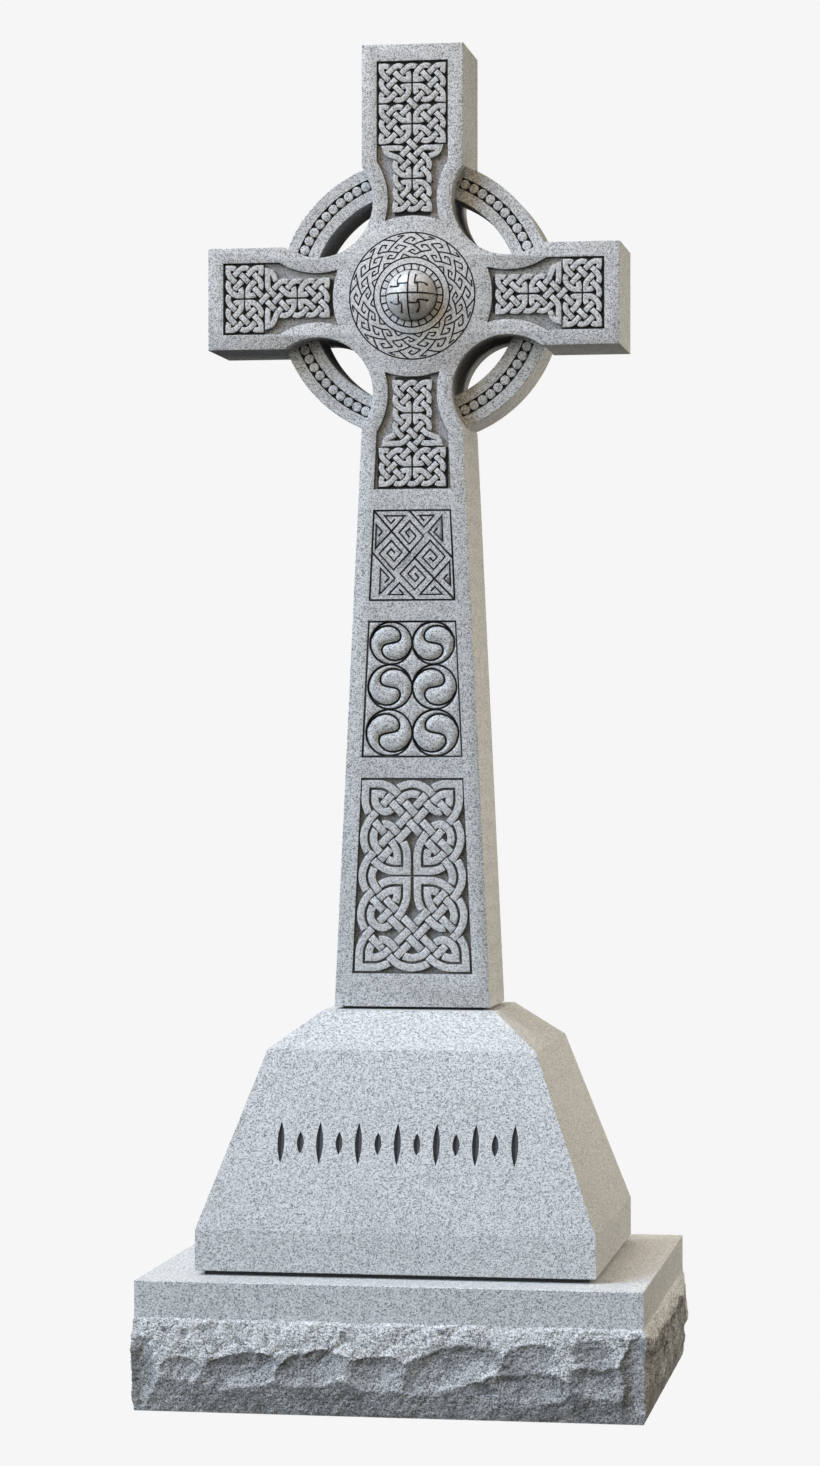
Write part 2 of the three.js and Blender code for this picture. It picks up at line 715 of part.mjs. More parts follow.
const headstone = new THREE.Group();
STONES.forEach(({ name, body, color }) => {
  const stone = new THREE.Mesh(geometryOf(body()), new THREE.MeshStandardMaterial({ ...granite, color }));
  stone.name = name;
  headstone.add(stone);
});

export default headstone;
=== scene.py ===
"""Dresses the granite ring-cross headstone: rock-faced base, tapered plinth and carved cross.

Sizes are in millimetres, as a mason states them, and go into the meshes in metres. The carved front looks
towards -Y. A plan point is an (x, z) pair in the front plane, and a drop is a depth behind the face.
"""
import logging
import math
from collections.abc import Callable, Iterable, Sequence
from dataclasses import dataclass, field
from enum import Enum
from typing import NamedTuple

import bmesh
import bpy
import numpy as np
from mathutils.geometry import delaunay_2d_cdt, tessellate_polygon
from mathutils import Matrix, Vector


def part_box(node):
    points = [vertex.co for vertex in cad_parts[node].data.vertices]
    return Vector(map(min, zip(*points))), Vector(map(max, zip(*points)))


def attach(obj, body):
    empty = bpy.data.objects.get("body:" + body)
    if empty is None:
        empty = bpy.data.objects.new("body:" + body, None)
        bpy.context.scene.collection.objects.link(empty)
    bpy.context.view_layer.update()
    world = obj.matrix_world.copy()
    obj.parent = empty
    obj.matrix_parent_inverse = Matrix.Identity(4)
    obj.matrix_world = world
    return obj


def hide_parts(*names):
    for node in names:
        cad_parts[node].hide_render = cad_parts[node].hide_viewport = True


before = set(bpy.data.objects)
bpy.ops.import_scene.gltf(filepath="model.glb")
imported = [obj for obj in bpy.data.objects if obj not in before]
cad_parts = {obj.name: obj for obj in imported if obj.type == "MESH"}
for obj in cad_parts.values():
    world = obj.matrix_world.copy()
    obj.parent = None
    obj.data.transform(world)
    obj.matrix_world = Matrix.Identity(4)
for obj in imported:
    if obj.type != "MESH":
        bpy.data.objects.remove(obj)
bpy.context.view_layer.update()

Array = np.ndarray
Numbers = Array | float
Pair = tuple[float, float]
Triple = tuple[float, float, float]
Row = tuple[float, ...]
Colour = Triple
Noise = Pair

MM = 0.001
BODY = "root"
TONE = "tone"
BROKEN = "broken"
LOG = logging.getLogger("headstone")

# Points this near are one, in millimetres, and an edge bent by more degrees than this stays sharp
WELD = 0.002
CREASE = 32

# How many chords a bend has, the least divisor of a mitre at a sharp bend, and a number that counts as none
BEND_STEPS = 9
LEAST_SPREAD = 0.3
TINY = 1e-6


# Plane geometry


def arc(centre: Sequence[float], radius: float, start: float, end: float, steps: int) -> Array:
    """Points on a circle: centre plus radius times (cos, sin) of even steps between angles in degrees."""
    turn = np.radians(np.linspace(start, end, steps + 1))
    return np.asarray(centre) + radius * np.stack([np.cos(turn), np.sin(turn)], axis=-1)


def bezier(controls: Sequence[Array], steps: int) -> Array:
    """A Bezier curve by repeated blending of neighbouring control points, without its last point.

    Args:
        controls: The control points, first and last on the curve.
        steps: How many points.

    Returns:
        The points along the curve.
    """
    share = np.linspace(0, 1, steps, endpoint=False)[:, None]
    points = [np.broadcast_to(control, (steps, 2)) for control in controls]
    while len(points) > 1:
        points = [here + (there - here) * share for here, there in zip(points, points[1:])]
    return points[0]


def unit(vectors: Array) -> Array:
    """Vectors scaled to length one."""
    return vectors / np.linalg.norm(vectors, axis=-1, keepdims=True)


def mitres(before: Array, ahead: Array) -> Array:
    """Offsets to the left of a bend: the sum of both left normals over one plus their dot product.

    Args:
        before: Unit directions into each point.
        ahead: Unit directions out of each point.

    Returns:
        The offset that moves both sides of each bend by one.
    """
    left = np.stack([-ahead[:, 1], ahead[:, 0]], axis=-1)
    right = np.stack([-before[:, 1], before[:, 0]], axis=-1)
    spread = 1 + (left * right).sum(axis=-1, keepdims=True)
    return (left + right) / np.maximum(spread, LEAST_SPREAD)


def inset(loop: Array, distance: float) -> Array:
    """A closed counter-clockwise loop moved inwards by its mitres times a distance; below 0 is outwards."""
    ahead = unit(np.roll(loop, -1, axis=0) - loop)
    return loop + distance * mitres(np.roll(ahead, 1, axis=0), ahead)


def distance_to(points: Array, lines: Iterable[Array]) -> Array:
    """Least distance from each point to any of the lines.

    Each point is dropped square onto each segment, its share of the segment kept between 0 and 1.

    Args:
        points: Plan points.
        lines: Open lines of plan points.

    Returns:
        One distance for each point.
    """
    least = np.full(len(points), np.inf)
    for line in lines:
        run = np.diff(line, axis=0)
        away = points[:, None] - line[:-1]
        share = np.clip((away * run).sum(axis=-1) / (run * run).sum(axis=-1), 0, 1)
        gaps = np.linalg.norm(away - share[..., None] * run, axis=-1)
        least = np.minimum(least, gaps.min(axis=-1))
    return least


def closed(loop: Array) -> Array:
    """A loop as a line that ends where it starts."""
    return np.concatenate([loop, loop[:1]])


def staggered(low: Array, high: Array, pitch: float, reach: float = math.inf) -> Array:
    """Points in rows a pitch apart, of which every other one is moved by half the pitch.

    Args:
        low: The corner with the least coordinates.
        high: The opposite corner.
        pitch: Distance from point to point and from row to row.
        reach: Points that lie no nearer to the origin than this are left out.

    Returns:
        The points, from one pitch inside the corners.
    """
    x, z = np.meshgrid(*(np.arange(least + pitch, most - pitch, pitch) for least, most in zip(low, high)))
    x[1::2] += pitch / 2
    points = np.stack([x.ravel(), z.ravel()], axis=-1)
    return points[np.linalg.norm(points, axis=-1) < reach]


class Cut(NamedTuple):
    """A V-shaped cut: the open line that it follows, half its width and its depth."""

    line: Array
    half: float
    depth: float

    def outline(self, reach: float) -> Array:
        """The closed outline round the line, with a point beyond each end.

        Args:
            reach: Its distance from the line.

        Returns:
            The outline's corners.
        """
        ahead = unit(np.diff(self.line, axis=0))
        sides = reach * mitres(np.concatenate([ahead[:1], ahead]), np.concatenate([ahead, ahead[-1:]]))
        last, first = self.line[-1:] + ahead[-1:] * reach, self.line[:1] - ahead[:1] * reach
        return np.concatenate([self.line + sides, last, (self.line - sides)[::-1], first])


class Panel:
    """A level convex panel with cuts, in triangles whose edges follow the cuts so that they stay crisp.

    Each cut gives its line, its two edges and an outline a hair beyond, between which the tone changes.
    Points that fill the rest keep some hairs clear of the cuts.
    """

    HAIR = 0.3
    FILL_CLEAR = 3
    MERGE = 1e-3

    def __init__(self, border: Array, cuts: Sequence[Cut], fill: Array | None = None) -> None:
        """Triangulates the panel and finds the drop, tone and distance from the nearest line at each point.

        Args:
            border: The panel's corners.
            cuts: What is cut into it.
            fill: Points between the cuts that carry a swelling.
        """
        self.border = border
        chains = [closed(border)]
        for cut in cuts:
            chains += [cut.line, closed(cut.outline(cut.half)), closed(cut.outline(cut.half + self.HAIR))]
        sizes = np.array([len(chain) for chain in chains])
        starts = np.delete(np.arange(sizes.sum()), np.cumsum(sizes) - 1)
        points = np.concatenate(chains)
        if fill is not None:
            reach = max(cut.half for cut in cuts) + self.FILL_CLEAR * self.HAIR
            clear = distance_to(fill, [cut.line for cut in cuts]) > reach
            points = np.concatenate([points, fill[clear]])
        edges = np.stack([starts, starts + 1], axis=-1)
        made = delaunay_2d_cdt(points.tolist(), edges.tolist(), [], 0, self.MERGE, False)
        self.points, self.faces = np.array(made[0]), np.array(made[2])
        self.gap = np.full(len(self.points), np.inf)
        self.drop, self.tone = np.zeros(len(self.points)), np.zeros(len(self.points))
        for cut in cuts:
            gap = distance_to(self.points, [cut.line])
            self.gap = np.minimum(self.gap, gap)
            self.drop = np.maximum(self.drop, cut.depth * (1 - gap / cut.half))
            self.tone = np.maximum(self.tone, np.clip((cut.half + self.HAIR - gap) / self.HAIR, 0, 1))


def smooth_step(share: Array) -> Array:
    """Eases from 0 to 1: three squares less two cubes of the clipped share."""
    share = np.clip(share, 0, 1)
    return share * share * (3 - 2 * share)


# Meshes


class Shell:
    """Gathers the patches of one piece and makes its mesh, with a tone, in part painted light and shade,
    and a brokenness at each point.
    """

    def __init__(self) -> None:
        """Starts with no patch."""
        self.points: list[Array] = []
        self.tones: list[Array] = []
        self.broken: list[Array] = []
        self.faces: list[Array] = []
        self.count = 0

    def patch(self, points: Array, faces: Array, tone: Numbers = 0, broken: Numbers = 0) -> None:
        """Adds points and the faces between them.

        Args:
            points: Places in millimetres, in any array whose last axis is x, y, z.
            faces: Rows of point numbers, all of one length.
            tone: From -1, pale, bruised and painted light, over 0, plain, to 1, dark in a sunk place and
                painted shade.
            broken: From -1, polished, over 0, steeled smooth, to 1, broken rock.
        """
        shape = points.shape[:-1]
        self.points.append(points.reshape(-1, 3))
        self.tones.append(np.broadcast_to(tone, shape).reshape(-1))
        self.broken.append(np.broadcast_to(broken, shape).reshape(-1))
        self.faces.append(np.asarray(faces) + self.count)
        self.count += int(np.prod(shape))

    def grid(self, points: Array, tone: Numbers = 0, broken: Numbers = 0, wrap: bool = False) -> None:
        """Adds a grid of quads.

        Args:
            points: Rows by columns of places.
            tone: As for a patch.
            broken: As for a patch.
            wrap: Joins the last column to the first.
        """
        rows, columns = points.shape[:2]
        index = np.arange(rows * columns).reshape(rows, columns)
        if wrap:
            index = np.concatenate([index, index[:, :1]], axis=1)
        quads = np.stack([index[:-1, :-1], index[:-1, 1:], index[1:, 1:], index[1:, :-1]], axis=-1)
        self.patch(points, quads.reshape(-1, 4), tone, broken)

    def cap(self, loops: Sequence[Array], tone: float = 0, broken: float = 0) -> None:
        """Fills a flat outline, less the holes that follow it, with triangles."""
        triangles = tessellate_polygon([loop.tolist() for loop in loops])
        self.patch(np.concatenate(loops), np.array(triangles), tone, broken)

    def tube(self, points: Array, tone: Numbers = 0) -> None:
        """Adds a closed tube: a wrapped grid with its first and last rows filled.

        Args:
            points: Rows by columns of places.
            tone: As for a patch; both ends take its greatest value.
        """
        self.grid(points, tone, wrap=True)
        for end in (0, -1):
            self.cap([points[end]], float(np.max(tone)))

    def piece(self, name: str, crease: float = CREASE) -> bpy.types.Object:
        """Makes the object, with doubled points merged and faces turned outwards.

        Args:
            name: The piece's name.
            crease: Edges bent by more than this many degrees stay sharp.

        Returns:
            The new object, at the origin.
        """
        mesh = bpy.data.meshes.new(name)
        sizes = np.concatenate([np.full(len(faces), faces.shape[1]) for faces in self.faces])
        mesh.vertices.add(self.count)
        mesh.loops.add(int(sizes.sum()))
        mesh.polygons.add(len(sizes))
        mesh.vertices.foreach_set("co", np.concatenate(self.points).ravel() * MM)
        mesh.loops.foreach_set("vertex_index", np.concatenate([faces.ravel() for faces in self.faces]))
        mesh.polygons.foreach_set("loop_start", np.cumsum(sizes) - sizes)
        for label, values in ((TONE, self.tones), (BROKEN, self.broken)):
            mesh.attributes.new(label, "FLOAT", "POINT").data.foreach_set("value", np.concatenate(values))
        mesh.update(calc_edges=True)
        work = bmesh.new()
        work.from_mesh(mesh)
        bmesh.ops.remove_doubles(work, verts=work.verts, dist=WELD * MM)
        bmesh.ops.recalc_face_normals(work, faces=work.faces)
        work.to_mesh(mesh)
        work.free()
        mesh.polygons.foreach_set("use_smooth", np.ones(len(mesh.polygons), dtype=bool))
        mesh.set_sharp_from_angle(angle=math.radians(crease))
        made = bpy.data.objects.new(name, mesh)
        bpy.context.scene.collection.objects.link(made)
        return made


# Finishes


@dataclass(frozen=True)
class Value:
    """An output socket of a node tree that takes part in Python sums; each sum adds a Math node."""

    nodes: "NodeBook"
    socket: bpy.types.NodeSocket

    def _math(self, operation: str, *terms: "Value | float") -> "Value":
        """A Math node of that operation on the terms, in order."""
        return self.nodes.add("ShaderNodeMath", {"operation": operation}, dict(enumerate(terms)))

    def __add__(self, other: "Value | float") -> "Value":
        """This plus the other."""
        return self._math("ADD", self, other)

    def __sub__(self, other: "Value | float") -> "Value":
        """This less the other."""
        return self._math("SUBTRACT", self, other)

    def __rsub__(self, other: float) -> "Value":
        """The other less this."""
        return self._math("SUBTRACT", other, self)

    def __mul__(self, other: "Value | float") -> "Value":
        """This times the other."""
        return self._math("MULTIPLY", self, other)

    def at_least(self, other: float) -> "Value":
        """This or the other, whichever is more."""
        return self._math("MAXIMUM", self, other)

    __radd__ = __add__
    __rmul__ = __mul__


class NodeBook:
    """Adds nodes to one tree."""

    def __init__(self, tree: bpy.types.NodeTree) -> None:
        """Empties the tree."""
        self.tree = tree
        self.tree.nodes.clear()

    def add(
        self,
        kind: str,
        settings: dict[str, object] | None = None,
        inputs: dict[str | int, object] | None = None,
        output: str | int = 0,
    ) -> Value | None:
        """Adds one node.

        Args:
            kind: The node's type.
            settings: Attributes that are set first; stops are a ramp's places and colours.
            inputs: Values or links for its sockets, by name or number.
            output: The socket that is handed back.

        Returns:
            That output, ready for sums, or none if the node has no output.
        """
        node = self.tree.nodes.new(kind)
        for label, setting in (settings or {}).items():
            if label == "stops":
                self._stops(node.color_ramp, setting)
            else:
                setattr(node, label, setting)
        for label, given in (inputs or {}).items():
            if isinstance(given, Value):
                self.tree.links.new(given.socket, node.inputs[label])
            else:
                node.inputs[label].default_value = given
        return Value(self, node.outputs[output]) if len(node.outputs) else None

    @staticmethod
    def _stops(ramp: bpy.types.ColorRamp, stops: Sequence[tuple[float, Colour]]) -> None:
        """Sets a ramp's stops.

        Args:
            ramp: The ramp.
            stops: Each stop's place and colour, in order.
        """
        while len(ramp.elements) < len(stops):
            ramp.elements.new(1.0)
        for element, (place, colour) in zip(ramp.elements, stops):
            element.position = place
            element.color = (*colour, 1.0)

    def mix(self, share: Value | float, one: object, other: object) -> Value:
        """A colour mixed from one to the other by the share."""
        return self.add("ShaderNodeMix", {"data_type": "RGBA"}, {0: share, 6: one, 7: other}, 2)


@dataclass(frozen=True)
class Granite:
    """A finish of fine grey granite: speckled crystals, dark where it is sunk and where shade is painted,
    pale where it is bruised and where light is painted.

    The grain and the relief are in millimetres, and a noise is a scale to the metre and a detail. The sunk,
    bruised and polished colours are what the plain one is mixed towards; the sunk colour also serves as
    painted shade, and the bruised colour as painted light.
    """

    name: str
    grain: float = 1.5
    black: Colour = (0.12, 0.125, 0.13)
    grey: Colour = (0.34, 0.345, 0.35)
    pale: Colour = (0.482, 0.490, 0.497)
    white: Colour = (0.60, 0.605, 0.61)
    dressed_stops: Pair = (0.3, 0.55)
    raw_stops: Pair = (0.2, 0.55)
    raw_share: float = 0.5

    sunk: Colour = (0.018, 0.018, 0.021)
    sunk_and_painted_shade_share: float = 0.97
    bruise_and_painted_light: Colour = (0.70, 0.68, 0.67)
    bruise_and_painted_light_share: float = 0.5
    polished: Colour = (0.10, 0.10, 0.10)
    polished_share: float = 0.05

    clouds: Noise = (9.0, 3.0)
    mottle: Noise = (95.0, 2.0)
    shade: float = 0.90
    shade_swing: float = 0.10

    fine: Noise = (520.0, 3.0)
    coarse: Noise = (120.0, 4.0)
    dressed_relief: float = 0.15
    rock_fine: float = 0.6
    rock_coarse: float = 1.6
    relief: float = 1.2
    relief_strength: float = 0.35

    roughness: float = 0.62
    rough_swing: float = 0.16
    polish_drop: float = 0.28
    gloss: float = 1.0
    gloss_roughness: float = 0.3
    specular: float = 0.32

    def material(self) -> bpy.types.Material:
        """Builds the node material on Object coordinates.

        Returns:
            The material.
        """
        made = bpy.data.materials.new(self.name)
        made.use_nodes = True
        book = NodeBook(made.node_tree)
        place = book.add("ShaderNodeTexCoord", output="Object")
        clouds = self._noise(book, place, self.clouds)
        mottle = self._noise(book, place, self.mottle)
        tone = book.add("ShaderNodeAttribute", {"attribute_name": TONE}, output="Fac")
        broken = book.add("ShaderNodeAttribute", {"attribute_name": BROKEN}, output="Fac")
        rock = broken.at_least(0)
        polish = (0 - broken).at_least(0)
        crystals = self._crystals(book, place, rock)
        shade = self.shade + self.shade_swing * clouds + self.shade_swing * mottle
        scaled = book.add("ShaderNodeVectorMath", {"operation": "SCALE"}, {0: crystals, "Scale": shade})
        honed = book.mix(polish * self.polished_share, scaled, (*self.polished, 1.0))
        # The tone mixes towards the sunk colour, which is also painted shade, and towards the bruised
        # colour, which is also painted light
        sunk_and_shade_painted = book.mix(tone.at_least(0) * self.sunk_and_painted_shade_share, honed, (*self.sunk, 1.0))
        bruise_and_light_painted = book.mix((0 - tone).at_least(0) * self.bruise_and_painted_light_share, sunk_and_shade_painted, (*self.bruise_and_painted_light, 1.0))
        inputs = {
            "Base Color": bruise_and_light_painted,
            "Roughness": self.roughness + self.rough_swing * mottle - self.polish_drop * polish,
            "Coat Weight": polish * self.gloss,
            "Coat Roughness": self.gloss_roughness,
            "Normal": self._bump(book, place, rock),
            "Specular IOR Level": self.specular,
        }
        surface = book.add("ShaderNodeBsdfPrincipled", None, inputs)
        book.add("ShaderNodeOutputMaterial", None, {"Surface": surface})
        return made

    def _crystals(self, book: NodeBook, place: Value, rock: Value) -> Value:
        """Colours of the crystals: a random number for each Voronoi cell, through a ramp to white.

        Args:
            book: Takes the nodes.
            place: Object coordinates.
            rock: How far the stone is broken, which shows each crystal more strongly.

        Returns:
            The colour.
        """
        settings = {"voronoi_dimensions": "3D", "feature": "F1"}
        scale = 1 / (self.grain * MM)
        cells = book.add("ShaderNodeTexVoronoi", settings, {"Vector": place, "Scale": scale}, "Color")
        chance = book.add("ShaderNodeSeparateColor", None, {"Color": cells}, "Red")
        low, high = self.dressed_stops
        stops = [(0.0, self.black), (low, self.grey), (high, self.pale), (1.0, self.white)]
        dressed = book.add("ShaderNodeValToRGB", {"stops": stops}, {"Fac": chance})
        low, high = self.raw_stops
        stops = [(0.0, self.sunk), (low, self.black), (high, self.pale), (1.0, self.bruise_and_painted_light)]
        raw = book.add("ShaderNodeValToRGB", {"stops": stops}, {"Fac": chance})
        return book.mix(rock * self.raw_share, dressed, raw)

    def _bump(self, book: NodeBook, place: Value, rock: Value) -> Value:
        """The relief of the grain: fine noise everywhere, and more of it with coarse noise on broken rock.

        Args:
            book: Takes the nodes.
            place: Object coordinates.
            rock: How far the stone is broken.

        Returns:
            The bent normal.
        """
        fine = self._noise(book, place, self.fine)
        coarse = self._noise(book, place, self.coarse)
        height = fine * (self.dressed_relief + rock * self.rock_fine) + coarse * rock * self.rock_coarse
        inputs = {"Strength": self.relief_strength, "Distance": MM * self.relief, "Height": height}
        return book.add("ShaderNodeBump", None, inputs)

    @staticmethod
    def _noise(book: NodeBook, place: Value, noise: Noise) -> Value:
        """Fractal noise of a scale and a detail."""
        scale, detail = noise
        return book.add("ShaderNodeTexNoise", None, {"Vector": place, "Scale": scale, "Detail": detail})


# Knotwork


class Wall(Enum):
    """Which way a wall stands in a knot's lattice."""

    UPRIGHT = "upright"
    LEVEL = "level"


class Block(NamedTuple):
    """A rectangle of lattice cells that is knotted in itself."""

    across: int
    along: int


class Stop(NamedTuple):
    """An edge's middle that a strand reaches, in half cells, its heading, and a wall that turns it."""

    x: int
    y: int
    dx: int
    dy: int
    wall: Wall | None

    def touch(self) -> Array:
        """Where the strand's line passes: the crossing, or half a half cell off the wall."""
        heading = np.array([self.dx * (self.wall is Wall.UPRIGHT), self.dy * (self.wall is Wall.LEVEL)])
        return np.array([self.x, self.y]) - heading / 2


class Lattice:
    """Cells in a column of blocks, counted in half cells. Strands run corner-wise and turn back at walls.

    An ear's tip lies a little short of its row's end. Its curve leaves the tip by one pull and comes to
    the next crossing by the other, each a step outwards and a step along.
    """

    EAR_SHORT = 0.5
    TIP_PULL = (0.2, 1.1)
    END_PULL = (0.9, 0.5)

    def __init__(self, blocks: Sequence[Block], ear_reach: float = 0) -> None:
        """Lays the blocks.

        Args:
            blocks: From the first row on.
            ear_reach: How far from the middle the first block's far corners are drawn out, in half cells.
        """
        self.columns = max(block.across for block in blocks)
        self.cells: set[tuple[int, int]] = set()
        self.walls: dict[tuple[int, int], Wall] = {}
        self.length = 0
        self.first = blocks[0]
        self.ear_reach = ear_reach
        for block in blocks:
            self._lay(block)

    def _lay(self, block: Block) -> None:
        """Adds one block: its cells, the walls round its middle cell, and the wall to the block before.

        Args:
            block: The block, which takes the next rows.
        """
        middle, start = self.columns, self.length
        xs = range(middle - block.across + 1, middle + block.across, 2)
        ys = range(start + 1, start + 2 * block.along, 2)
        self.cells |= {(x, y) for x in xs for y in ys}
        core = start + block.along
        for side in (-1, 1):
            self.walls[middle, core + side] = Wall.UPRIGHT
            self.walls[middle + side, core] = Wall.LEVEL
        if start:
            self.walls.update({(x, start): Wall.LEVEL for x in xs if x != middle})
        self.length += 2 * block.along

    def _inside(self, x: int, y: int) -> bool:
        """Whether an edge's middle has cells on both sides."""
        sides = ((x - 1, y), (x + 1, y)) if x % 2 == 0 else ((x, y - 1), (x, y + 1))
        return all(side in self.cells for side in sides)

    def _wall(self, x: int, y: int) -> Wall | None:
        """The wall at an edge's middle, if there is one; the outer edges are walls too."""
        outer = Wall.UPRIGHT if x % 2 == 0 else Wall.LEVEL
        return self.walls.get((x, y)) if self._inside(x, y) else outer

    def crossings(self) -> Array:
        """The places where strands cross, in half cells: the middles of inner edges without a wall."""
        spots = [(x, y) for y in range(self.length + 1) for x in range(1 - y % 2, 2 * self.columns + 1, 2)]
        return np.array([spot for spot in spots if self._inside(*spot) and spot not in self.walls], float)

    def _strands(self) -> list[list[Stop]]:
        """Follows each strand from crossing to crossing until it is back at its start.

        Returns:
            A closed list of stops for each strand.
        """
        seen: set[tuple[int, int, int]] = set()
        strands = []
        for start_x, start_y in self.crossings().astype(int).tolist():
            for lean in (1, -1):
                if (start_x, start_y, lean) in seen:
                    continue
                x, y, dx, dy = start_x, start_y, 1, lean
                stops: list[Stop] = []
                while not stops or (x, y, dx * dy) != (start_x, start_y, lean):
                    wall = self._wall(x, y)
                    stops.append(Stop(x, y, dx, dy, wall))
                    if wall is None:
                        seen.add((x, y, dx * dy))
                    dx = -dx if wall is Wall.UPRIGHT else dx
                    dy = -dy if wall is Wall.LEVEL else dy
                    x, y = x + dx, y + dy
                strands.append(stops)
        return strands

    def lines(self) -> list[Array]:
        """The closed line of each strand, in half cells."""
        pairs = [zip(stops, stops[1:] + stops[:1]) for stops in self._strands()]
        return [np.concatenate([self._run(here, there) for here, there in strand]) for strand in pairs]

    def _is_ear(self, stop: Stop) -> bool:
        """Whether a stop is a far corner of the first block that is drawn out."""
        outermost = abs(stop.x - self.columns) == self.first.across
        return bool(self.ear_reach) and outermost and stop.y == 2 * self.first.along - 1

    def _run(self, here: Stop, there: Stop) -> Array:
        """The line from one stop to the next, without its end.

        Between crossings it is straight. Towards a wall it bends by a curve whose middle control lies
        halfway, and where two walls meet it comes to a point.

        Args:
            here: The stop that it leaves.
            there: The stop that it reaches.

        Returns:
            The points of the line, in half cells.
        """
        if self._is_ear(here) or self._is_ear(there):
            return self._ear_run(here, there)
        if here.wall and there.wall:
            upright, level = (here, there) if here.wall is Wall.UPRIGHT else (there, here)
            return np.array([here.touch(), [upright.touch()[0], level.touch()[1]]])
        if not here.wall and not there.wall:
            return here.touch()[None]
        middle = np.array([(here.x + there.x) / 2, (here.y + there.y) / 2])
        return bezier([here.touch(), middle, there.touch()], BEND_STEPS)

    def _ear_run(self, here: Stop, there: Stop) -> Array:
        """The line into or out of an ear: one leg along the wall to a pointed tip, and one curving in.

        Args:
            here: The stop that it leaves.
            there: The stop that it reaches; one of both is an ear.

        Returns:
            The points of the line, in half cells.
        """
        into = self._is_ear(there)
        ear, other = (there, here) if into else (here, there)
        side = math.copysign(1, ear.x - self.columns)
        tip = np.array([self.columns + side * self.ear_reach, 2 * self.first.along - self.EAR_SHORT])
        if other.wall:
            return (other.touch() if into else tip)[None]
        out = tip - np.array(self.TIP_PULL) * (side, 1)
        back = other.touch() + np.array(self.END_PULL) * (side, 1)
        curve = [tip, out, back, other.touch()]
        return bezier(curve[::-1] if into else curve, BEND_STEPS)


def segments(loops: Sequence[Array]) -> tuple[Array, Array]:
    """The starts and runs of all segments of closed lines."""
    return np.concatenate(loops), np.concatenate([np.roll(loop, -1, axis=0) - loop for loop in loops])


def numbered(loops: Sequence[Array]) -> tuple[Array, Array]:
    """For each segment of closed lines, the line's number and the segment's number in it."""
    owner = np.concatenate([np.full(len(loop), number) for number, loop in enumerate(loops)])
    return owner, np.concatenate([np.arange(len(loop)) for loop in loops])


def meetings(loops: Sequence[Array]) -> tuple[Array, Array]:
    """Every pair of segments that cross, and the shares of both at which they do.

    The shares solve one start plus a share of its run equal to the other's, for all pairs at once.

    Args:
        loops: Closed lines of plan points.

    Returns:
        The pairs of segment numbers, and their shares.
    """
    starts, runs = segments(loops)
    owner, order = numbered(loops)
    counts = np.array([len(loop) for loop in loops])[owner]
    turned = np.stack([runs[:, 1], -runs[:, 0]], axis=-1)
    sine = -runs @ turned.T
    apart = starts[None] - starts[:, None]
    with np.errstate(divide="ignore", invalid="ignore"):
        first = -(apart * turned[None]).sum(axis=-1) / sine
        second = -(apart * turned[:, None]).sum(axis=-1) / sine
    step = np.abs(order[:, None] - order[None])
    beside = (owner[:, None] == owner[None]) & ((step <= 1) | (step >= counts[:, None] - 1))
    meets = (first > -TINY) & (first < 1 + TINY) & (second > -TINY) & (second < 1 + TINY)
    one, other = np.nonzero(np.triu(meets & ~beside & (np.abs(sine) > TINY), 1))
    return np.stack([one, other], axis=-1), np.stack([first[one, other], second[one, other]], axis=-1)


def uncrossed(loops: Sequence[Array], spot: Array, reach: float) -> list[Array]:
    """Closed lines with their crossing nearest to a spot opened into a bend above it and a bend below it.

    Args:
        loops: Closed lines of plan points.
        spot: A place near the crossing.
        reach: How far from the crossing the bends begin.

    Returns:
        The lines, of which two may have become one, or one two.
    """
    starts, runs = segments(loops)
    owner, order = numbered(loops)
    pairs, shares = meetings(loops)
    places = starts[pairs[:, 0]] + shares[:, :1] * runs[pairs[:, 0]]
    nearest = np.argmin(((places - spot) ** 2).sum(axis=-1))
    here, (one, other) = places[nearest], pairs[nearest]
    rest = [loop for number, loop in enumerate(loops) if number not in owner[[one, other]]]
    strands = [np.roll(loops[owner[cut]], -order[cut] - 1, axis=0) for cut in (one, other)]
    if owner[one] == owner[other]:
        strands = np.split(strands[0], [order[other] - order[one]])
    parts = []
    for strand in strands:
        far = np.flatnonzero(np.linalg.norm(strand - here, axis=-1) > reach)
        kept = strand[far[0]: far[-1] + 1]
        ends = here + unit(kept[[0, -1]] - here) * reach
        parts.append(np.concatenate([ends[:1], kept, ends[1:]]))
    tops = [part[[0, -1], 1] > here[1] for part in parts]
    if tops[0][0] == tops[0][1]:
        bends = [bezier([part[-1], here, part[0]], BEND_STEPS)[1:] for part in parts]
        return rest + [np.concatenate(pair) for pair in zip(parts, bends)]
    down = parts[0] if tops[0][0] else parts[0][::-1]
    rising = parts[1][::-1] if tops[1][0] else parts[1]
    turns = ((down[-1], rising[0]), (rising[-1], down[0]))
    bends = [bezier([head, here, tail], BEND_STEPS)[1:] for head, tail in turns]
    return [*rest, np.concatenate([down, bends[0], rising, bends[1]])]


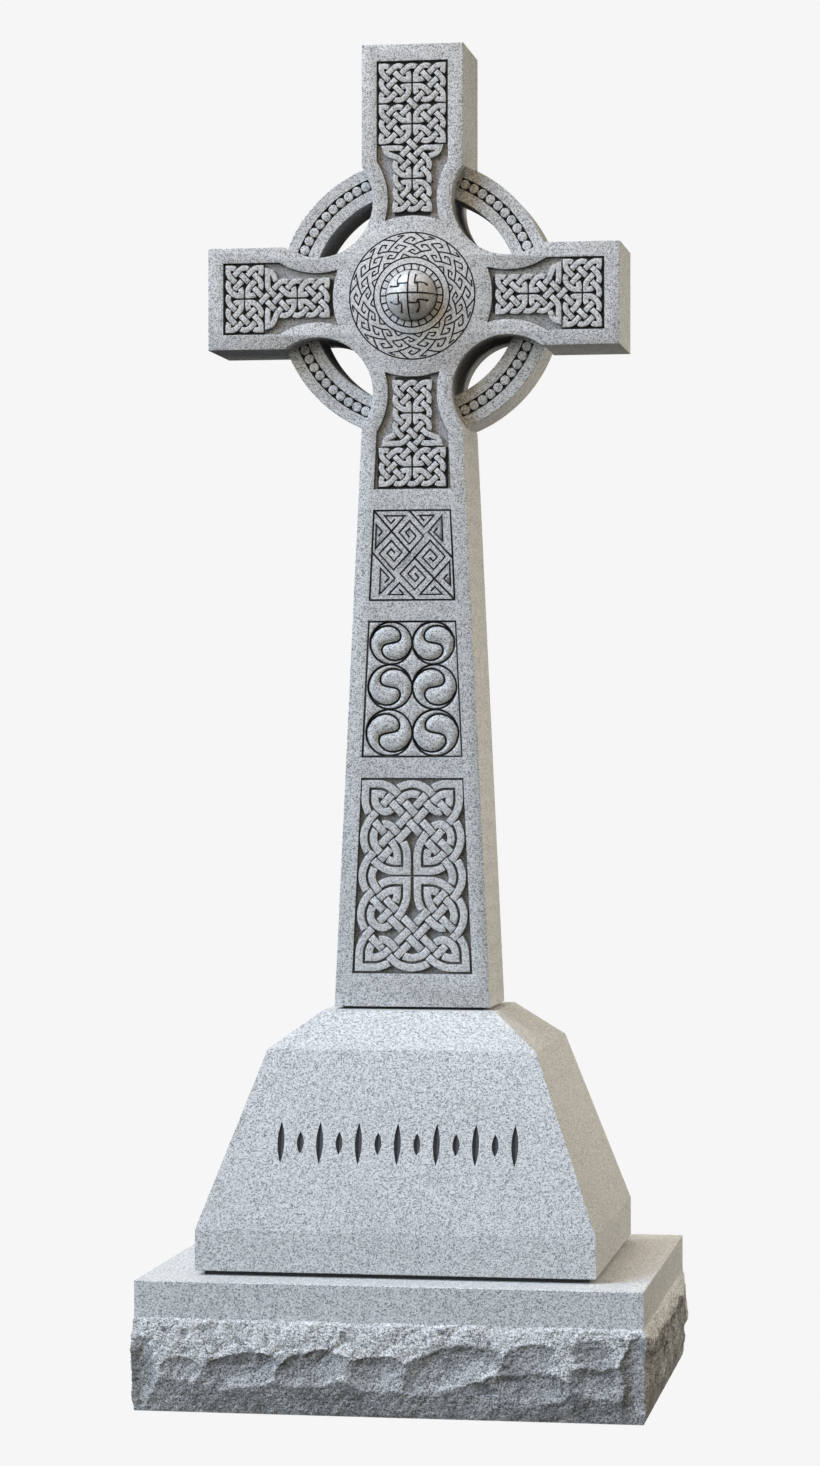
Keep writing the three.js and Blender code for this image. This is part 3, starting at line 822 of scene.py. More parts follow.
@dataclass(frozen=True)
class Strapwork:
    """Straps of one width that pass over and under each other, standing on a sunk floor.

    The ends are distances from a strap's end, across are shares of half its width, and both have the drops
    there. The tone runs from a pale top to dark at a share of the floor's depth.
    """

    width: float
    gap: float
    floor: float
    ends: Row = (0.0, 0.3, 0.7, 1.3)
    end_drops: Row = (6.0, 0.9, 0.2, 0.0)
    end_clear: float = 1.1
    across: Row = (-1.0, -1.0, -0.95, -0.85, 0.0, 0.85, 0.95, 1.0, 1.0)
    drops: Row = (9.0, 0.6, 0.16, 0.02, 0.0, 0.02, 0.16, 0.6, 9.0)
    footing: float = 1.0
    same_place: float = 1.0
    top_pale: float = 0.2
    shade_start: float = 1.0
    shade_share: float = 0.5

    def straps(self, loops: Sequence[Array], slash_over: Callable[[Array], bool]) -> list[Array]:
        """Cuts closed lines into the straps that show, each from one underpass to the next.

        Args:
            loops: Closed lines of plan points.
            slash_over: Says whether the strap that rises to the right is the upper one at a place.

        Returns:
            An open line for each strap.
        """
        found = []
        for loop, marks in zip(loops, self._underpasses(loops, slash_over)):
            twice = np.concatenate([loop, loop, loop[:1]])
            miles = np.concatenate([[0], np.cumsum(np.linalg.norm(np.diff(twice, axis=0), axis=-1))])
            whole = miles[len(loop)]
            for (at, trim), (next_at, next_trim) in zip(marks, marks[1:] + marks[:1]):
                start = at + trim
                end = next_at - next_trim + (whole if next_at <= at else 0)
                found.append(self._stretch(twice, miles, start, end))
        return found

    def _stretch(self, line: Array, miles: Array, start: float, end: float) -> Array:
        """The part of a line between two distances along it, with extra points near its ends.

        Args:
            line: The whole line.
            miles: The distance along it of each of its points.
            start: Where the part begins.
            end: Where it ends.

        Returns:
            The part's points.
        """
        lead = np.array(self.ends)
        clear = lead[-1] * self.end_clear
        inner = miles[(miles > start + clear) & (miles < end - clear)]
        marks = np.concatenate([start + lead, inner, end - lead[::-1]])
        return np.stack([np.interp(marks, miles, line[:, axis]) for axis in (0, 1)], axis=-1)

    def _underpasses(
        self, loops: Sequence[Array], slash_over: Callable[[Array], bool]
    ) -> list[list[Pair]]:
        """Where each loop passes under; half a strap and the gap, over the angle's sine, is cleared there.

        Args:
            loops: Closed lines of plan points.
            slash_over: As for the straps.

        Returns:
            For each loop, the distances along it, each with the length to clear there.
        """
        owner, _ = numbered(loops)
        starts, runs = segments(loops)
        lengths = np.linalg.norm(runs, axis=-1)
        own = [lengths[owner == number] for number in range(len(loops))]
        wholes = np.array([length.sum() for length in own])
        miles = np.concatenate([np.cumsum(length) - length for length in own])
        marks: list[list[Pair]] = [[] for _ in loops]
        for (one, other), (first, second) in zip(*(part.tolist() for part in meetings(loops))):
            where = starts[one] + first * runs[one]
            slash = runs[one, 0] * runs[one, 1] > 0
            under, share = (other, second) if slash_over(where) == slash else (one, first)
            sine = abs(np.linalg.det(runs[[one, other]])) / (lengths[one] * lengths[other])
            whole = wholes[owner[under]]
            at = (miles[under] + share * lengths[under]) % whole
            known = marks[owner[under]]
            if all(min(abs(at - mark), whole - abs(at - mark)) > self.same_place for mark, _ in known):
                known.append((at, (self.width / 2 + self.gap) / sine))
        return [sorted(known) for known in marks]

    def lay(self, shell: Shell, path: Array, place: Callable[[Array, Array], Array]) -> None:
        """Carries the strap's profile along a line.

        At each point of the line the profile is set square to it, by its mitre, and drops near both ends.

        Args:
            shell: Takes the strap.
            path: The strap's line.
            place: Gives x, y, z from plan points and drops.
        """
        ahead = unit(np.diff(path, axis=0))
        sides = mitres(np.concatenate([ahead[:1], ahead]), np.concatenate([ahead, ahead[-1:]]))
        across = np.array(self.across) * self.width / 2
        plan = path[:, None] + sides[:, None] * across[None, :, None]
        fall = np.zeros(len(path))
        fall[: len(self.ends)] = self.end_drops
        fall[-len(self.ends):] = self.end_drops[::-1]
        drop = np.minimum(np.array(self.drops)[None] + fall[:, None], self.floor + self.footing)
        depth = smooth_step((drop - self.shade_start) / (self.shade_share * self.floor))
        shell.tube(place(plan, drop), (1 + self.top_pale) * depth - self.top_pale)


# The stones


@dataclass
class Stone:
    """What the three stones share: dressing a finished mesh as a piece of the frame."""

    def dress(self, piece: bpy.types.Object, node: str, finish: bpy.types.Material) -> None:
        """Gives a piece its finish and body, and hides the node that it stands for.

        Args:
            piece: The finished object.
            node: The node that it replaces, which is hidden.
            finish: Its material.
        """
        piece.data.materials.append(finish)
        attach(piece, BODY)
        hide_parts(node)
        LOG.info("%s: %d faces", piece.name, len(piece.data.polygons))


def top_of(node: str) -> float:
    """A node's highest level in the frame, in millimetres."""
    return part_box(node)[1].z / MM


def rectangle(half_x: float, half_y: float, z: float) -> Array:
    """The four corners of a level rectangle round the middle."""
    corners = np.array([(-1, -1), (1, -1), (1, 1), (-1, 1)], dtype=float)
    return np.column_stack([corners * (half_x, half_y), np.full(4, z)])


def rounded_levels(levels: Sequence[Sequence[float]], edge: float) -> Array:
    """Rows of (half width, half depth, height) with each inner level eased into two.

    Each row but the first and last becomes two points, an edge's width along the faces below and above.

    Args:
        levels: From the foot up.
        edge: Width of the eased edge.

    Returns:
        The eased rows.
    """
    rows = np.asarray(levels, dtype=float)
    runs = unit(np.diff(rows, axis=0)) * edge
    pairs = np.stack([rows[1:-1] - runs[:-1], rows[1:-1] + runs[1:]], axis=1).reshape(-1, 3)
    return np.concatenate([rows[:1], pairs, rows[-1:]])


class Scar(NamedTuple):
    """A shell-shaped hollow that a flake left: its middle, half width, half height, depth and slant."""

    along: float
    level: float
    wide: float
    tall: float
    deep: float
    slant: float = 0.0


class Scatter(NamedTuple):
    """Scars drawn by chance: how many, and the least and most of their sizes; the place along is free."""

    count: int
    least: Scar
    most: Scar


class Ripple(NamedTuple):
    """A noise round the block: its pitch, its height, and how far it leans along for each step up."""

    cell: float
    height: float = 1.0
    lean: float = 0.0


class Facets(NamedTuple):
    """Breaks on the rock: folded ripples, their height, how far they are sunk, and their calm below."""

    ripples: tuple[Ripple, ...]
    height: float
    sunk: float
    calm: float


@dataclass(frozen=True)
class LapNoise:
    """Smooth noise at places on a face that runs round the block, where it repeats after each lap."""

    LEAST_COLUMNS = 2
    ROWS_PAST = 3

    mile: Array
    z: Array
    lap: float
    rng: np.random.Generator

    def noise(self, cell: float, lean: float = 0, rise: float = 1) -> Array:
        """Noise between -1 and 1: random numbers on a lattice, eased between.

        Args:
            cell: The lattice's pitch.
            lean: How far a place moves along for each step up.
            rise: How much of the height counts.

        Returns:
            The noise at each place.
        """
        across, along = np.broadcast_arrays((self.mile + lean * self.z) / cell, rise * self.z / cell)
        columns = max(self.LEAST_COLUMNS, round(self.lap / cell))
        across = across * columns * cell / self.lap
        numbers = self.rng.uniform(-1, 1, (columns, int(along.max()) + self.ROWS_PAST))
        column, row = np.floor(across).astype(int), np.floor(along).astype(int)
        ease_x, ease_z = smooth_step(across - column), smooth_step(along - row)
        row = row - row.min()
        left, right = column % columns, (column + 1) % columns
        low = numbers[left, row] * (1 - ease_x) + numbers[right, row] * ease_x
        high = numbers[left, row + 1] * (1 - ease_x) + numbers[right, row + 1] * ease_x
        return low * (1 - ease_z) + high * ease_z

    def rippled(self, start: Numbers, ripples: Sequence[Ripple]) -> Array:
        """Numbers plus, for each ripple in order, its height times its noise."""
        return sum((ripple.height * self.noise(ripple.cell, ripple.lean) for ripple in ripples), start)

    def folded(self, facets: Facets, lower: Array) -> Array:
        """How far facets stand out: their height times the ripples without signs, less what is sunk."""
        folds = sum(np.abs(self.rippled(0, [ripple])) for ripple in facets.ripples)
        return (facets.height * folds - facets.sunk) * (1 - facets.calm * lower)


@dataclass
class Base(Stone):
    """The bottom block: a smooth margin over sides that are broken to a rock face.

    A brow falls outwards from the pitched line and an undercut rises outwards from the foot. Shell-shaped
    scars are broken into both, and the lowest of all these surfaces stands, with sharp ridges between them.
    """

    width: float = 762
    depth: float = 640
    margin: float = 54.6
    edge: float = 1.2
    crease: float = 14
    pitches: tuple[float, float, float, float] = (2.0, 2.0, 4.5, 4.5)
    rows: int = 68
    seed: int = 11
    under_tone: float = 0.3

    bulge: float = 12.5
    bulge_mean: float = 0.85
    bulge_swing: float = 0.2
    bulge_cell: float = 70
    ridge: float = 0.40
    side_ridge: float = 0.84
    corner: float = 20
    brow_power: float = 0.6
    foot_share: float = 0.05

    front_scars: tuple[Scar, ...] = (
        Scar(12, 60, 14, 50, 3),
        Scar(72, 70, 40, 19, 6, 0.4),
        Scar(160, 72, 68, 27, 9, -0.6),
        Scar(276, 80, 68, 30, 10, -0.6),
        Scar(368, 72, 62, 26, 9, 0.3),
        Scar(492, 88, 78, 38, 10, -1.1),
        Scar(594, 99, 62, 36, 10, -0.5),
        Scar(690, 112, 48, 28, 8, 0.2),
        Scar(702, 66, 46, 24, 7, 0.2),
        Scar(590, 52, 56, 22, 4.5, 0.3),
        Scar(752, 66, 14, 60, 3),
    )
    scars: Scatter = Scatter(34, Scar(0, 45, 25, 18, 4), Scar(0, 100, 52, 34, 8, 0.6))
    flakes: Scatter = Scatter(46, Scar(0, 40, 12, 8, 1.5, -0.9), Scar(0, 100, 30, 17, 4, 0.9))
    chips: Scatter = Scatter(110, Scar(0, 90, 6, 6, 1.5), Scar(0, 134, 16, 13, 3.5, 0.6))
    front_clear: float = 10
    stagger: float = 0.4
    hollow_below: float = 0.6
    hollow_above: float = 1.1
    hollow_reach: float = 0.7

    bends: tuple[Ripple, ...] = (Ripple(22, 4), Ripple(8, 2))
    lifts: tuple[Ripple, ...] = (Ripple(26, 4), Ripple(9, 1.5))
    facets: Facets = Facets((Ripple(16, 1, -0.6), Ripple(7, 1, 1)), 1.3, 0.9, 0.35)
    waves: Facets = Facets((Ripple(40, 1, -0.8),), 3, 1.2, 0.6)
    grit: float = 0.45
    patches: tuple[Ripple, ...] = (Ripple(24), Ripple(9, 0.8))
    # Tone of the rock: the lower zone darker, partly its own colour and partly painted shade; painted shade
    # on the right side and where it faces down; painted light and shade by its slope along the lap; random
    # patches
    lower_colour_and_painted_shade: float = 0.50
    painted_shade_right_side: float = 0.06
    painted_shade_facing_down: float = 0.3
    painted_light_along_lap: float = 0.35
    tone_patchy: float = 0.12
    tone_lift: float = 0.02
    tone_limits: Pair = (-0.6, 0.85)
    lower_fall: float = 1.0
    fringe: float = 3
    foot_lead: float = 3
    foot_fade: float = 8
    deepest: float = -4
    height: float = field(default_factory=lambda: top_of("base"))

    @property
    def lap(self) -> float:
        """The length of the way round the block."""
        return 2 * (self.width + self.depth)

    def build(self, finish: bpy.types.Material) -> bpy.types.Object:
        """Makes and dresses the block.

        Args:
            finish: Its material.

        Returns:
            The piece.
        """
        shell = Shell()
        plan, outward, mile = self._lap_points()
        top = self.height - self.margin
        z = np.linspace(0, top, self.rows + 1)
        out, tone = self._rock(mile[None], z[:, None], top)
        sides = plan[None] + outward[None] * out[..., None]
        rock = np.concatenate([sides, np.broadcast_to(z[:, None, None], (*out.shape, 1))], axis=-1)
        shell.grid(rock, tone, np.minimum((top - z) / self.fringe, 1)[:, None], wrap=True)
        shell.cap([rock[0]], self.under_tone, 1.0)
        scale = 1 - self.edge / np.array([self.width / 2, self.depth / 2])
        levels = [(plan, top), (plan, self.height - self.edge), (plan * scale, self.height)]
        block = np.stack([np.column_stack([flat, np.full(len(flat), level)]) for flat, level in levels])
        shell.grid(block, wrap=True)
        shell.cap([block[-1]])
        piece = shell.piece("base_stone", self.crease)
        self.dress(piece, "base", finish)
        return piece

    def _lap_points(self) -> tuple[Array, Array, Array]:
        """Points round the block from its front left corner, each side in even steps of about its pitch.

        Returns:
            The points, their outward ways, which add up at a corner, and their distances along.
        """
        corners = rectangle(self.width / 2, self.depth / 2, 0)[:, :2]
        sides = np.roll(corners, -1, axis=0) - corners
        spans = np.abs(sides).sum(axis=1)
        counts = [round(float(span) / pitch) for span, pitch in zip(spans, self.pitches)]
        shares = [np.arange(count)[:, None] / count for count in counts]
        runs = [corner + share * side for corner, share, side in zip(corners, shares, sides)]
        ways = np.stack([sides[:, 1], -sides[:, 0]], axis=-1) / spans[:, None]
        outward = np.repeat(ways, counts, axis=0)
        firsts = np.cumsum(counts) - counts
        outward[firsts] += outward[firsts - 1]
        lengths = np.repeat(spans / counts, counts)
        return np.concatenate(runs), outward, np.cumsum(lengths) - lengths

    def _rock(self, mile: Array, z: Array, top: float) -> tuple[Array, Array]:
        """How far the rock stands out, and its tone, by distance along the lap and height.

        The lowest of the two slopes and the scars stands, with facets, waves and grit on it. It fades out
        towards the pitched line, and in part towards the foot. Its tone is painted shade and painted light
        by zone, side and slope, with the lower zone's own darker colour and random patches.

        Args:
            mile: Distances round the block.
            z: Heights above the foot.
            top: Height of the pitched line.

        Returns:
            How far each place stands out, and its tone.
        """
        rng = np.random.default_rng(self.seed)
        noise = LapNoise(mile, z, self.lap, rng)
        beside = smooth_step((mile - self.width + self.corner) / (2 * self.corner))
        beside = beside * smooth_step((self.width + self.depth - mile) / (2 * self.corner))
        brow, slopes = self._slopes(z / top, beside, noise)
        bent = noise.rippled(mile, self.bends)
        risen = noise.rippled(z, self.lifts)
        hollows = [self._hollow(scar, bent, risen, mile[0], z[:, 0], slopes) for scar in self._scars(rng)]
        broken = np.minimum.reduce([slopes, *hollows])
        lower = smooth_step((brow - broken) / self.lower_fall)
        surface = broken + noise.folded(self.facets, lower) + noise.folded(self.waves, lower)
        surface = surface + self.grit * rng.uniform(-1, 1, broken.shape)
        fringe = np.minimum((top - z) / self.fringe, 1)
        fade = fringe * smooth_step((z + self.foot_lead) / self.foot_fade)
        down, along = np.gradient(surface, top / self.rows, self.lap / mile.size)
        # Painted shade on the lower zone, the right side and faces turned down; painted light on faces
        # turned back along the lap, painted shade on those turned forward
        shade = self.lower_colour_and_painted_shade * lower + self.painted_shade_right_side * beside + self.painted_shade_facing_down * down
        shade = shade - self.painted_light_along_lap * along + self.tone_patchy * noise.rippled(0, self.patches)
        tone = np.clip(shade - self.tone_lift, *self.tone_limits)
        return np.maximum(surface, self.deepest) * fade, tone * fringe

    def _slopes(self, share: Array, beside: Array, noise: LapNoise) -> tuple[Array, Array]:
        """The unbroken rock: a brow over a crest, and an undercut below it.

        The brow is the swelling times a power of the way from the pitched line to the crest. The undercut
        grows evenly from a small share of the swelling at the foot to all of it at the crest.

        Args:
            share: Heights as shares of the rock face.
            beside: From 0 on the other sides to 1 on the right side, where the crest lies higher.
            noise: Gives the swelling.

        Returns:
            How far the brow stands out, and the lower one of both.
        """
        crest = self.ridge + (self.side_ridge - self.ridge) * beside
        swing = (self.bulge_swing + self.bulge_swing * beside) * noise.noise(self.bulge_cell, rise=0)
        swell = self.bulge * (self.bulge_mean + swing)
        brow = swell * np.minimum((1 - share) / (1 - crest), 1) ** self.brow_power
        undercut = swell * (self.foot_share + (1 - self.foot_share) * share / crest)
        return brow, np.minimum(brow, undercut)

    def _scars(self, rng: np.random.Generator) -> list[Scar]:
        """All scars: the front's own, large ones drawn for the other sides, and flakes and chips all round.

        Args:
            rng: Draws their sizes.

        Returns:
            The scars.
        """
        chips = self._drawn(self.chips, rng)
        others = self._drawn(self.scars, rng)
        flakes = self._drawn(self.flakes, rng)
        beyond = [scar for scar in others if scar.along > self.width + self.front_clear]
        return [*self.front_scars, *beyond, *flakes, *chips]

    def _drawn(self, scatter: Scatter, rng: np.random.Generator) -> list[Scar]:
        """Scars at even steps round the lap, each moved a little, with sizes drawn between limits.

        Args:
            scatter: How many, and the limits.
            rng: Draws the numbers.

        Returns:
            The scars.
        """
        count = scatter.count
        sizes = rng.uniform(scatter.least, scatter.most, (count, len(scatter.least)))
        steps = np.arange(count) + rng.uniform(-self.stagger, self.stagger, count)
        sizes[:, 0] = steps * self.lap / count % self.lap
        return [Scar(*size) for size in sizes.tolist()]

    def _hollow(
        self, scar: Scar, mile: Array, z: Array, miles: Array, levels: Array, slopes: Array
    ) -> Array:
        """One scar's surface: it meets the slopes at its lower rim, and rises with the square of the reach.

        Args:
            scar: The scar.
            mile: Distances round the block, bent a little.
            z: Heights, bent a little.
            miles: The columns' distances.
            levels: The rows' heights.
            slopes: How far the unbroken slopes stand out.

        Returns:
            How far the hollow's surface stands out.
        """
        lap = miles[-1] + miles[1]
        off = (mile - scar.along + scar.slant * (z - scar.level) + lap / 2) % lap - lap / 2
        steepness = np.where(z < scar.level, self.hollow_below, self.hollow_above)
        rise = (z - scar.level) / scar.tall * steepness
        row = np.abs(levels - scar.level + scar.tall).argmin()
        rim = slopes[row, np.abs(miles - scar.along).argmin()]
        return rim + scar.deep * ((off / scar.wide) ** 2 + rise**2 - self.hollow_reach)


@dataclass
class Plinth(Stone):
    """The tapered stone: an upright foot band, sloping faces, a steep wash, and a row of chisel strokes.

    The foot and the shoulder are a width, a depth and the height of the face that ends there. A stroke's
    rings are shares of its breadth, its height and its depth.
    """

    bed: float = 6.7
    bed_inset: float = 13
    foot: Triple = (607, 504, 61.5)
    shoulder: Triple = (411, 366, 267.9)
    crown: Pair = (270, 225)
    edge: float = 1.3
    strokes: int = 13
    stroke_row: float = 356
    stroke_heights: Pair = (64, 34)
    stroke_breadth: float = 11
    stroke_depth: float = 2.4
    stroke_level: float = 131
    stroke_rings: tuple[Triple, ...] = (
        (1.0, 1.0, 0.0),
        (0.92, 0.995, 0.12),
        (0.5, 0.975, 0.6),
        (0.03, 0.94, 1.0),
    )
    stroke_tones: Row = (0, 1, 1, 1)
    leaf_steps: int = 10
    bottom: float = field(default_factory=lambda: top_of("base"))
    top: float = field(default_factory=lambda: top_of("plinth"))

    def build(self, finish: bpy.types.Material) -> bpy.types.Object:
        """Makes and dresses the stone.

        Args:
            finish: Its material.

        Returns:
            The piece.
        """
        shell = Shell()
        foot = self.bottom + self.bed
        band = foot + self.foot[2]
        shoulder = band + self.shoulder[2]
        eased = [size - 2 * self.edge for size in (*self.foot[:2], *self.crown)]
        levels = [
            (eased[0] / 2, eased[1] / 2, foot),
            (self.foot[0] / 2, self.foot[1] / 2, foot + self.edge),
            (self.foot[0] / 2, self.foot[1] / 2, band),
            (self.shoulder[0] / 2, self.shoulder[1] / 2, shoulder),
            (self.crown[0] / 2, self.crown[1] / 2, self.top - self.edge),
            (eased[2] / 2, eased[3] / 2, self.top),
        ]
        rows = rounded_levels(levels, self.edge / 2)
        rings = np.stack([rectangle(*row) for row in rows])
        slope = int(np.argmax(np.diff(rows[:, 2])))
        shell.grid(rings[: slope + 1], wrap=True)
        shell.grid(rings[slope + 1:], wrap=True)
        shell.grid(np.roll(rings[slope: slope + 2], -1, axis=1))
        shell.cap([rings[0]])
        shell.cap([rings[-1]])
        front = np.concatenate([rings[slope, :2], rings[slope + 1, 1::-1]])
        leaves = [self._leaf(number, front) for number in range(self.strokes)]
        shell.cap([front, *(leaf[0] for leaf in leaves)])
        for leaf in leaves:
            shell.grid(leaf, np.array(self.stroke_tones)[:, None], wrap=True)
        # The setting bed, toned full dark: a dark joint, and painted shade in the gap round it
        bed = (self.foot[0] / 2 - self.bed_inset, self.foot[1] / 2 - self.bed_inset)
        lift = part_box("plinth")[0].z / MM
        shell.tube(np.stack([rectangle(*bed, lift), rectangle(*bed, foot + self.edge)]), 1.0)
        piece = shell.piece("plinth_stone")
        self.dress(piece, "plinth", finish)
        return piece

    def _leaf(self, number: int, front: Array) -> Array:
        """One chisel stroke: rings of a leaf shape that sink to a line along its middle.

        The leaf's half breadth is one less the square of the way along it.

        Args:
            number: The stroke's place in the row; long and short ones take turns.
            front: The corners of the sloping front.

        Returns:
            Rings of points from the face inwards.
        """
        way = np.linspace(-1, 1, self.leaf_steps, endpoint=False)
        along = np.concatenate([way, -way])
        half = np.concatenate([1 - way**2, way**2 - 1]) * self.stroke_breadth / 2
        tall = self.stroke_heights[number % len(self.stroke_heights)] / 2
        left = (number / (self.strokes - 1) - 0.5) * self.stroke_row
        foot, head = front[0], front[-1]
        rise = (head - foot) * (0, 1, 1) / (head - foot)[2]
        up = unit(rise)
        inward = np.array([0, up[2], -up[1]])
        middle = np.array([left, 0, 0]) + foot * (0, 1, 1) + rise * (self.stroke_level - self.edge)
        shares = np.array(self.stroke_rings)
        breadth = shares[:, 0, None, None] * half[None, :, None] * np.array([1.0, 0, 0])
        height = shares[:, 1, None, None] * along[None, :, None] * tall * up
        return middle + breadth + height + shares[:, 2, None, None] * self.stroke_depth * inward


@dataclass
class Cross(Stone):
    """The carved cross: shaft, limbs, ring and boss, with sunk knots, key, spirals and a fretted roundel.

    The ring is two radii and a depth, and its channel a middle radius, a width and a depth. A strap is a
    width and the gap beside it, a cut half a width and a depth, and a pillow a fall and its width.
    """

    # Points of the ring's section: its channel, the channel's floor, and the wall towards the hole
    CHANNEL = slice(2, 8)
    CHANNEL_FLOOR = slice(4, 6)
    HOLE_WALL = slice(9, 11)

    bed: float = 4.3
    bed_inset: float = 12
    foot_width: float = 243
    limb_width: float = 158
    centre_height: float = 1094
    taper_end: float = 893
    pit_offset: float = 148.5
    pit_radius: float = 87
    edge: float = 1.3
    edge_middle: float = 0.3
    arc_steps: int = 44

    ring: Triple = (164, 217, 99)
    ring_start: float = 9
    channel: Triple = (190.5, 17.7, 6)
    channel_start: float = 21.8
    channel_wall: float = 0.04
    channel_edge: float = 0.4
    channel_steps: int = 28
    beads: int = 10
    bead_radius: float = 7.35
    bead_steps: int = 24
    bead_reaches: Row = (0.0, 0.72, 0.90, 0.97, 1.0, 1.0)
    bead_drops: Row = (-0.1, 0.0, 0.2, 0.6, 1.3)
    bead_shade: float = 0.5
    # Painted shade on the walls round the ring's holes: its strength, its fade beyond the ring, and its
    # share in each row of the outline's wall
    hole_painted_shade: float = 0.55
    hole_shade_fade: float = 24
    hole_shade_rows: Row = (0, 0, 0.7, 1, 0, 0)

    sunk: float = 7
    footing: float = 1
    pocket_rim: float = 0.6
    pocket_rim_shade: float = 0.3
    pocket_cove: float = 2.5
    limb_floor_tone: float = 0.36
    braid_floor_tone: float = 0.6
    limb_margin: float = 23.5
    top_margin: float = 26
    shaft_margin: float = 25.5
    hub_radius: float = 124
    limb_reach: float = 297
    band: float = 33
    key_height: float = 138
    spiral_height: float = 208
    braid_height: float = 301
    panel_rim: float = 2.4

    inner_block: Block = Block(3, 5)
    outer_block: Block = Block(5, 3)
    knot_strap: Pair = (8.1, 1.5)
    knot_cell: float = 21.4
    knot_start: float = 128
    knot_edge: float = 2.5
    # Slabs of painted shade under the limb knots: how far they stop short of the inner block's sides, in
    # half cells, and a gap that they keep
    shade_slab_edge: float = 0.4
    shade_slab_gap: float = 0.3
    ear_reach: float = 43

    braid_strap: Pair = (11.4, 1.4)
    braid_pitch: float = 15.4
    braid_edge: float = 1.9
    braid_bend: float = 24
    braid_spread: float = 0.12
    braid_spread_place: float = 0.5
    braid_spread_width: float = 0.1
    braid_opened: tuple[tuple[int, int], ...] = ((1, 2), (5, 2), (1, 8), (5, 8))

    key_cut: Pair = (1.45, 2.6)
    spiral_cut: Pair = (1.5, 2.6)
    spiral_rows: int = 3
    spiral_gap: float = 0.6
    spiral_lead: float = 10
    spiral_twist: float = 158
    spiral_power: float = 3.1
    spiral_steps: int = 40
    disc_steps: int = 64
    disc_pillow: Pair = (4.2, 11)
    corner_pillow: Pair = (1.8, 7)
    pillow_pitch: float = 2.3

    roundel_radius: float = 99.5
    roundel_steps: int = 96
    roundel_pale: float = 0.45
    dome: float = 8
    boss_radius: float = 39
    boss_height: float = 38
    boss_foot: float = 1.5
    boss_seam: float = 0.998
    boss_unrolled: float = 61.0
    boss_clear: float = 1
    boss_pitch: float = 2.4
    boss_pale: float = 0.4
    boss_polish: float = 1.0

    crown: float = field(default_factory=lambda: top_of("cross"))
    seat: float = field(default_factory=lambda: top_of("plinth"))
    half_span: float = field(default_factory=lambda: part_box("cross")[1].x / MM)
    half_depth: float = field(default_factory=lambda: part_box("cross")[1].y / MM)

    def __post_init__(self) -> None:
        """Works out the levels that follow from the sizes."""
        self.foot = self.seat + self.bed
        self.centre = np.array([0, self.foot + self.centre_height])
        self.limb_half = self.limb_width / 2
        self.top_reach = self.crown - self.centre[1] - self.top_margin
        self.key_top = self.centre[1] - self.limb_reach - self.band
        self.spiral_top = self.key_top - self.key_height - self.band
        self.braid_top = self.spiral_top - self.spiral_height - self.band

    def build(self, finish: bpy.types.Material) -> list[bpy.types.Object]:
        """Makes and dresses the cross and what is carved on it.

        Args:
            finish: The material of all its pieces.

        Returns:
            The pieces.
        """
        makers = {
            "cross_stone": self._body,
            "limb_knots": self._limb_knots,
            "shaft_braid": self._braid,
            "ring_beads": self._beads,
        }
        pieces = []
        for name, maker in makers.items():
            shell = Shell()
            maker(shell)
            piece = shell.piece(name)
            self.dress(piece, "cross", finish)
            pieces.append(piece)
        return pieces

    def at(self, plan: Array, drop: Numbers) -> Array:
        """Places behind the front face: x and z from the plan, y from the drop."""
        y = np.broadcast_to(drop - self.half_depth, plan.shape[:-1])
        return np.stack([plan[..., 0], y, plan[..., 1]], axis=-1)

    def shaft_half(self, z: Numbers) -> Numbers:
        """Half the shaft's width at a level: it narrows evenly from the foot."""
        taper = (self.foot_width / 2 - self.limb_half) / self.taper_end
        return self.foot_width / 2 - taper * (z - self.foot)

    def _outline(self) -> Array:
        """The counter-clockwise outline: straight limbs joined by round hollows between them.

        Returns:
            Its plan points.
        """
        lean = math.degrees(math.asin((self.pit_offset - self.limb_half) / self.pit_radius))
        low = self.centre[1] - self.pit_offset - self.pit_radius * math.cos(math.radians(lean))
        beside = self.pit_offset - self.shaft_half(low)
        shaft = math.degrees(math.acos(beside / self.pit_radius))
        turns = [
            ((1, -1), 180 + shaft, lean),
            ((1, 1), 360 - lean, 90 + lean),
            ((-1, 1), 90 - lean, lean - 180),
            ((-1, -1), 180 - lean, -shaft),
        ]
        hollows = []
        for sides, start, end in turns:
            middle = self.centre + self.pit_offset * np.array(sides)
            hollows.append(arc(middle, self.pit_radius, start, end, self.arc_steps))
        x, z, half = self.half_span, self.centre[1], self.limb_half
        foot = self.foot_width / 2
        straights = [
            [(x, z - half), (x, z + half)],
            [(half, self.crown), (-half, self.crown)],
            [(-x, z + half), (-x, z - half)],
            [(-foot, self.foot), (foot, self.foot)],
        ]
        runs = [np.concatenate([hollow, straight]) for hollow, straight in zip(hollows, straights)]
        return np.concatenate(runs)

    def _body(self, shell: Shell) -> None:
        """The stone itself: outline carried front to back with eased edges, sunk panels, ring and boss.

        Args:
            shell: Takes the stone.
        """
        outline = self._outline()
        back = 2 * self.half_depth
        middle = self.edge_middle * self.edge
        ease = [(self.edge, 0), (middle, middle), (0, self.edge)]
        rows = [self.at(inset(outline, shift), drop) for shift, drop in ease]
        rows += [self.at(inset(outline, shift), back - drop) for shift, drop in reversed(ease)]
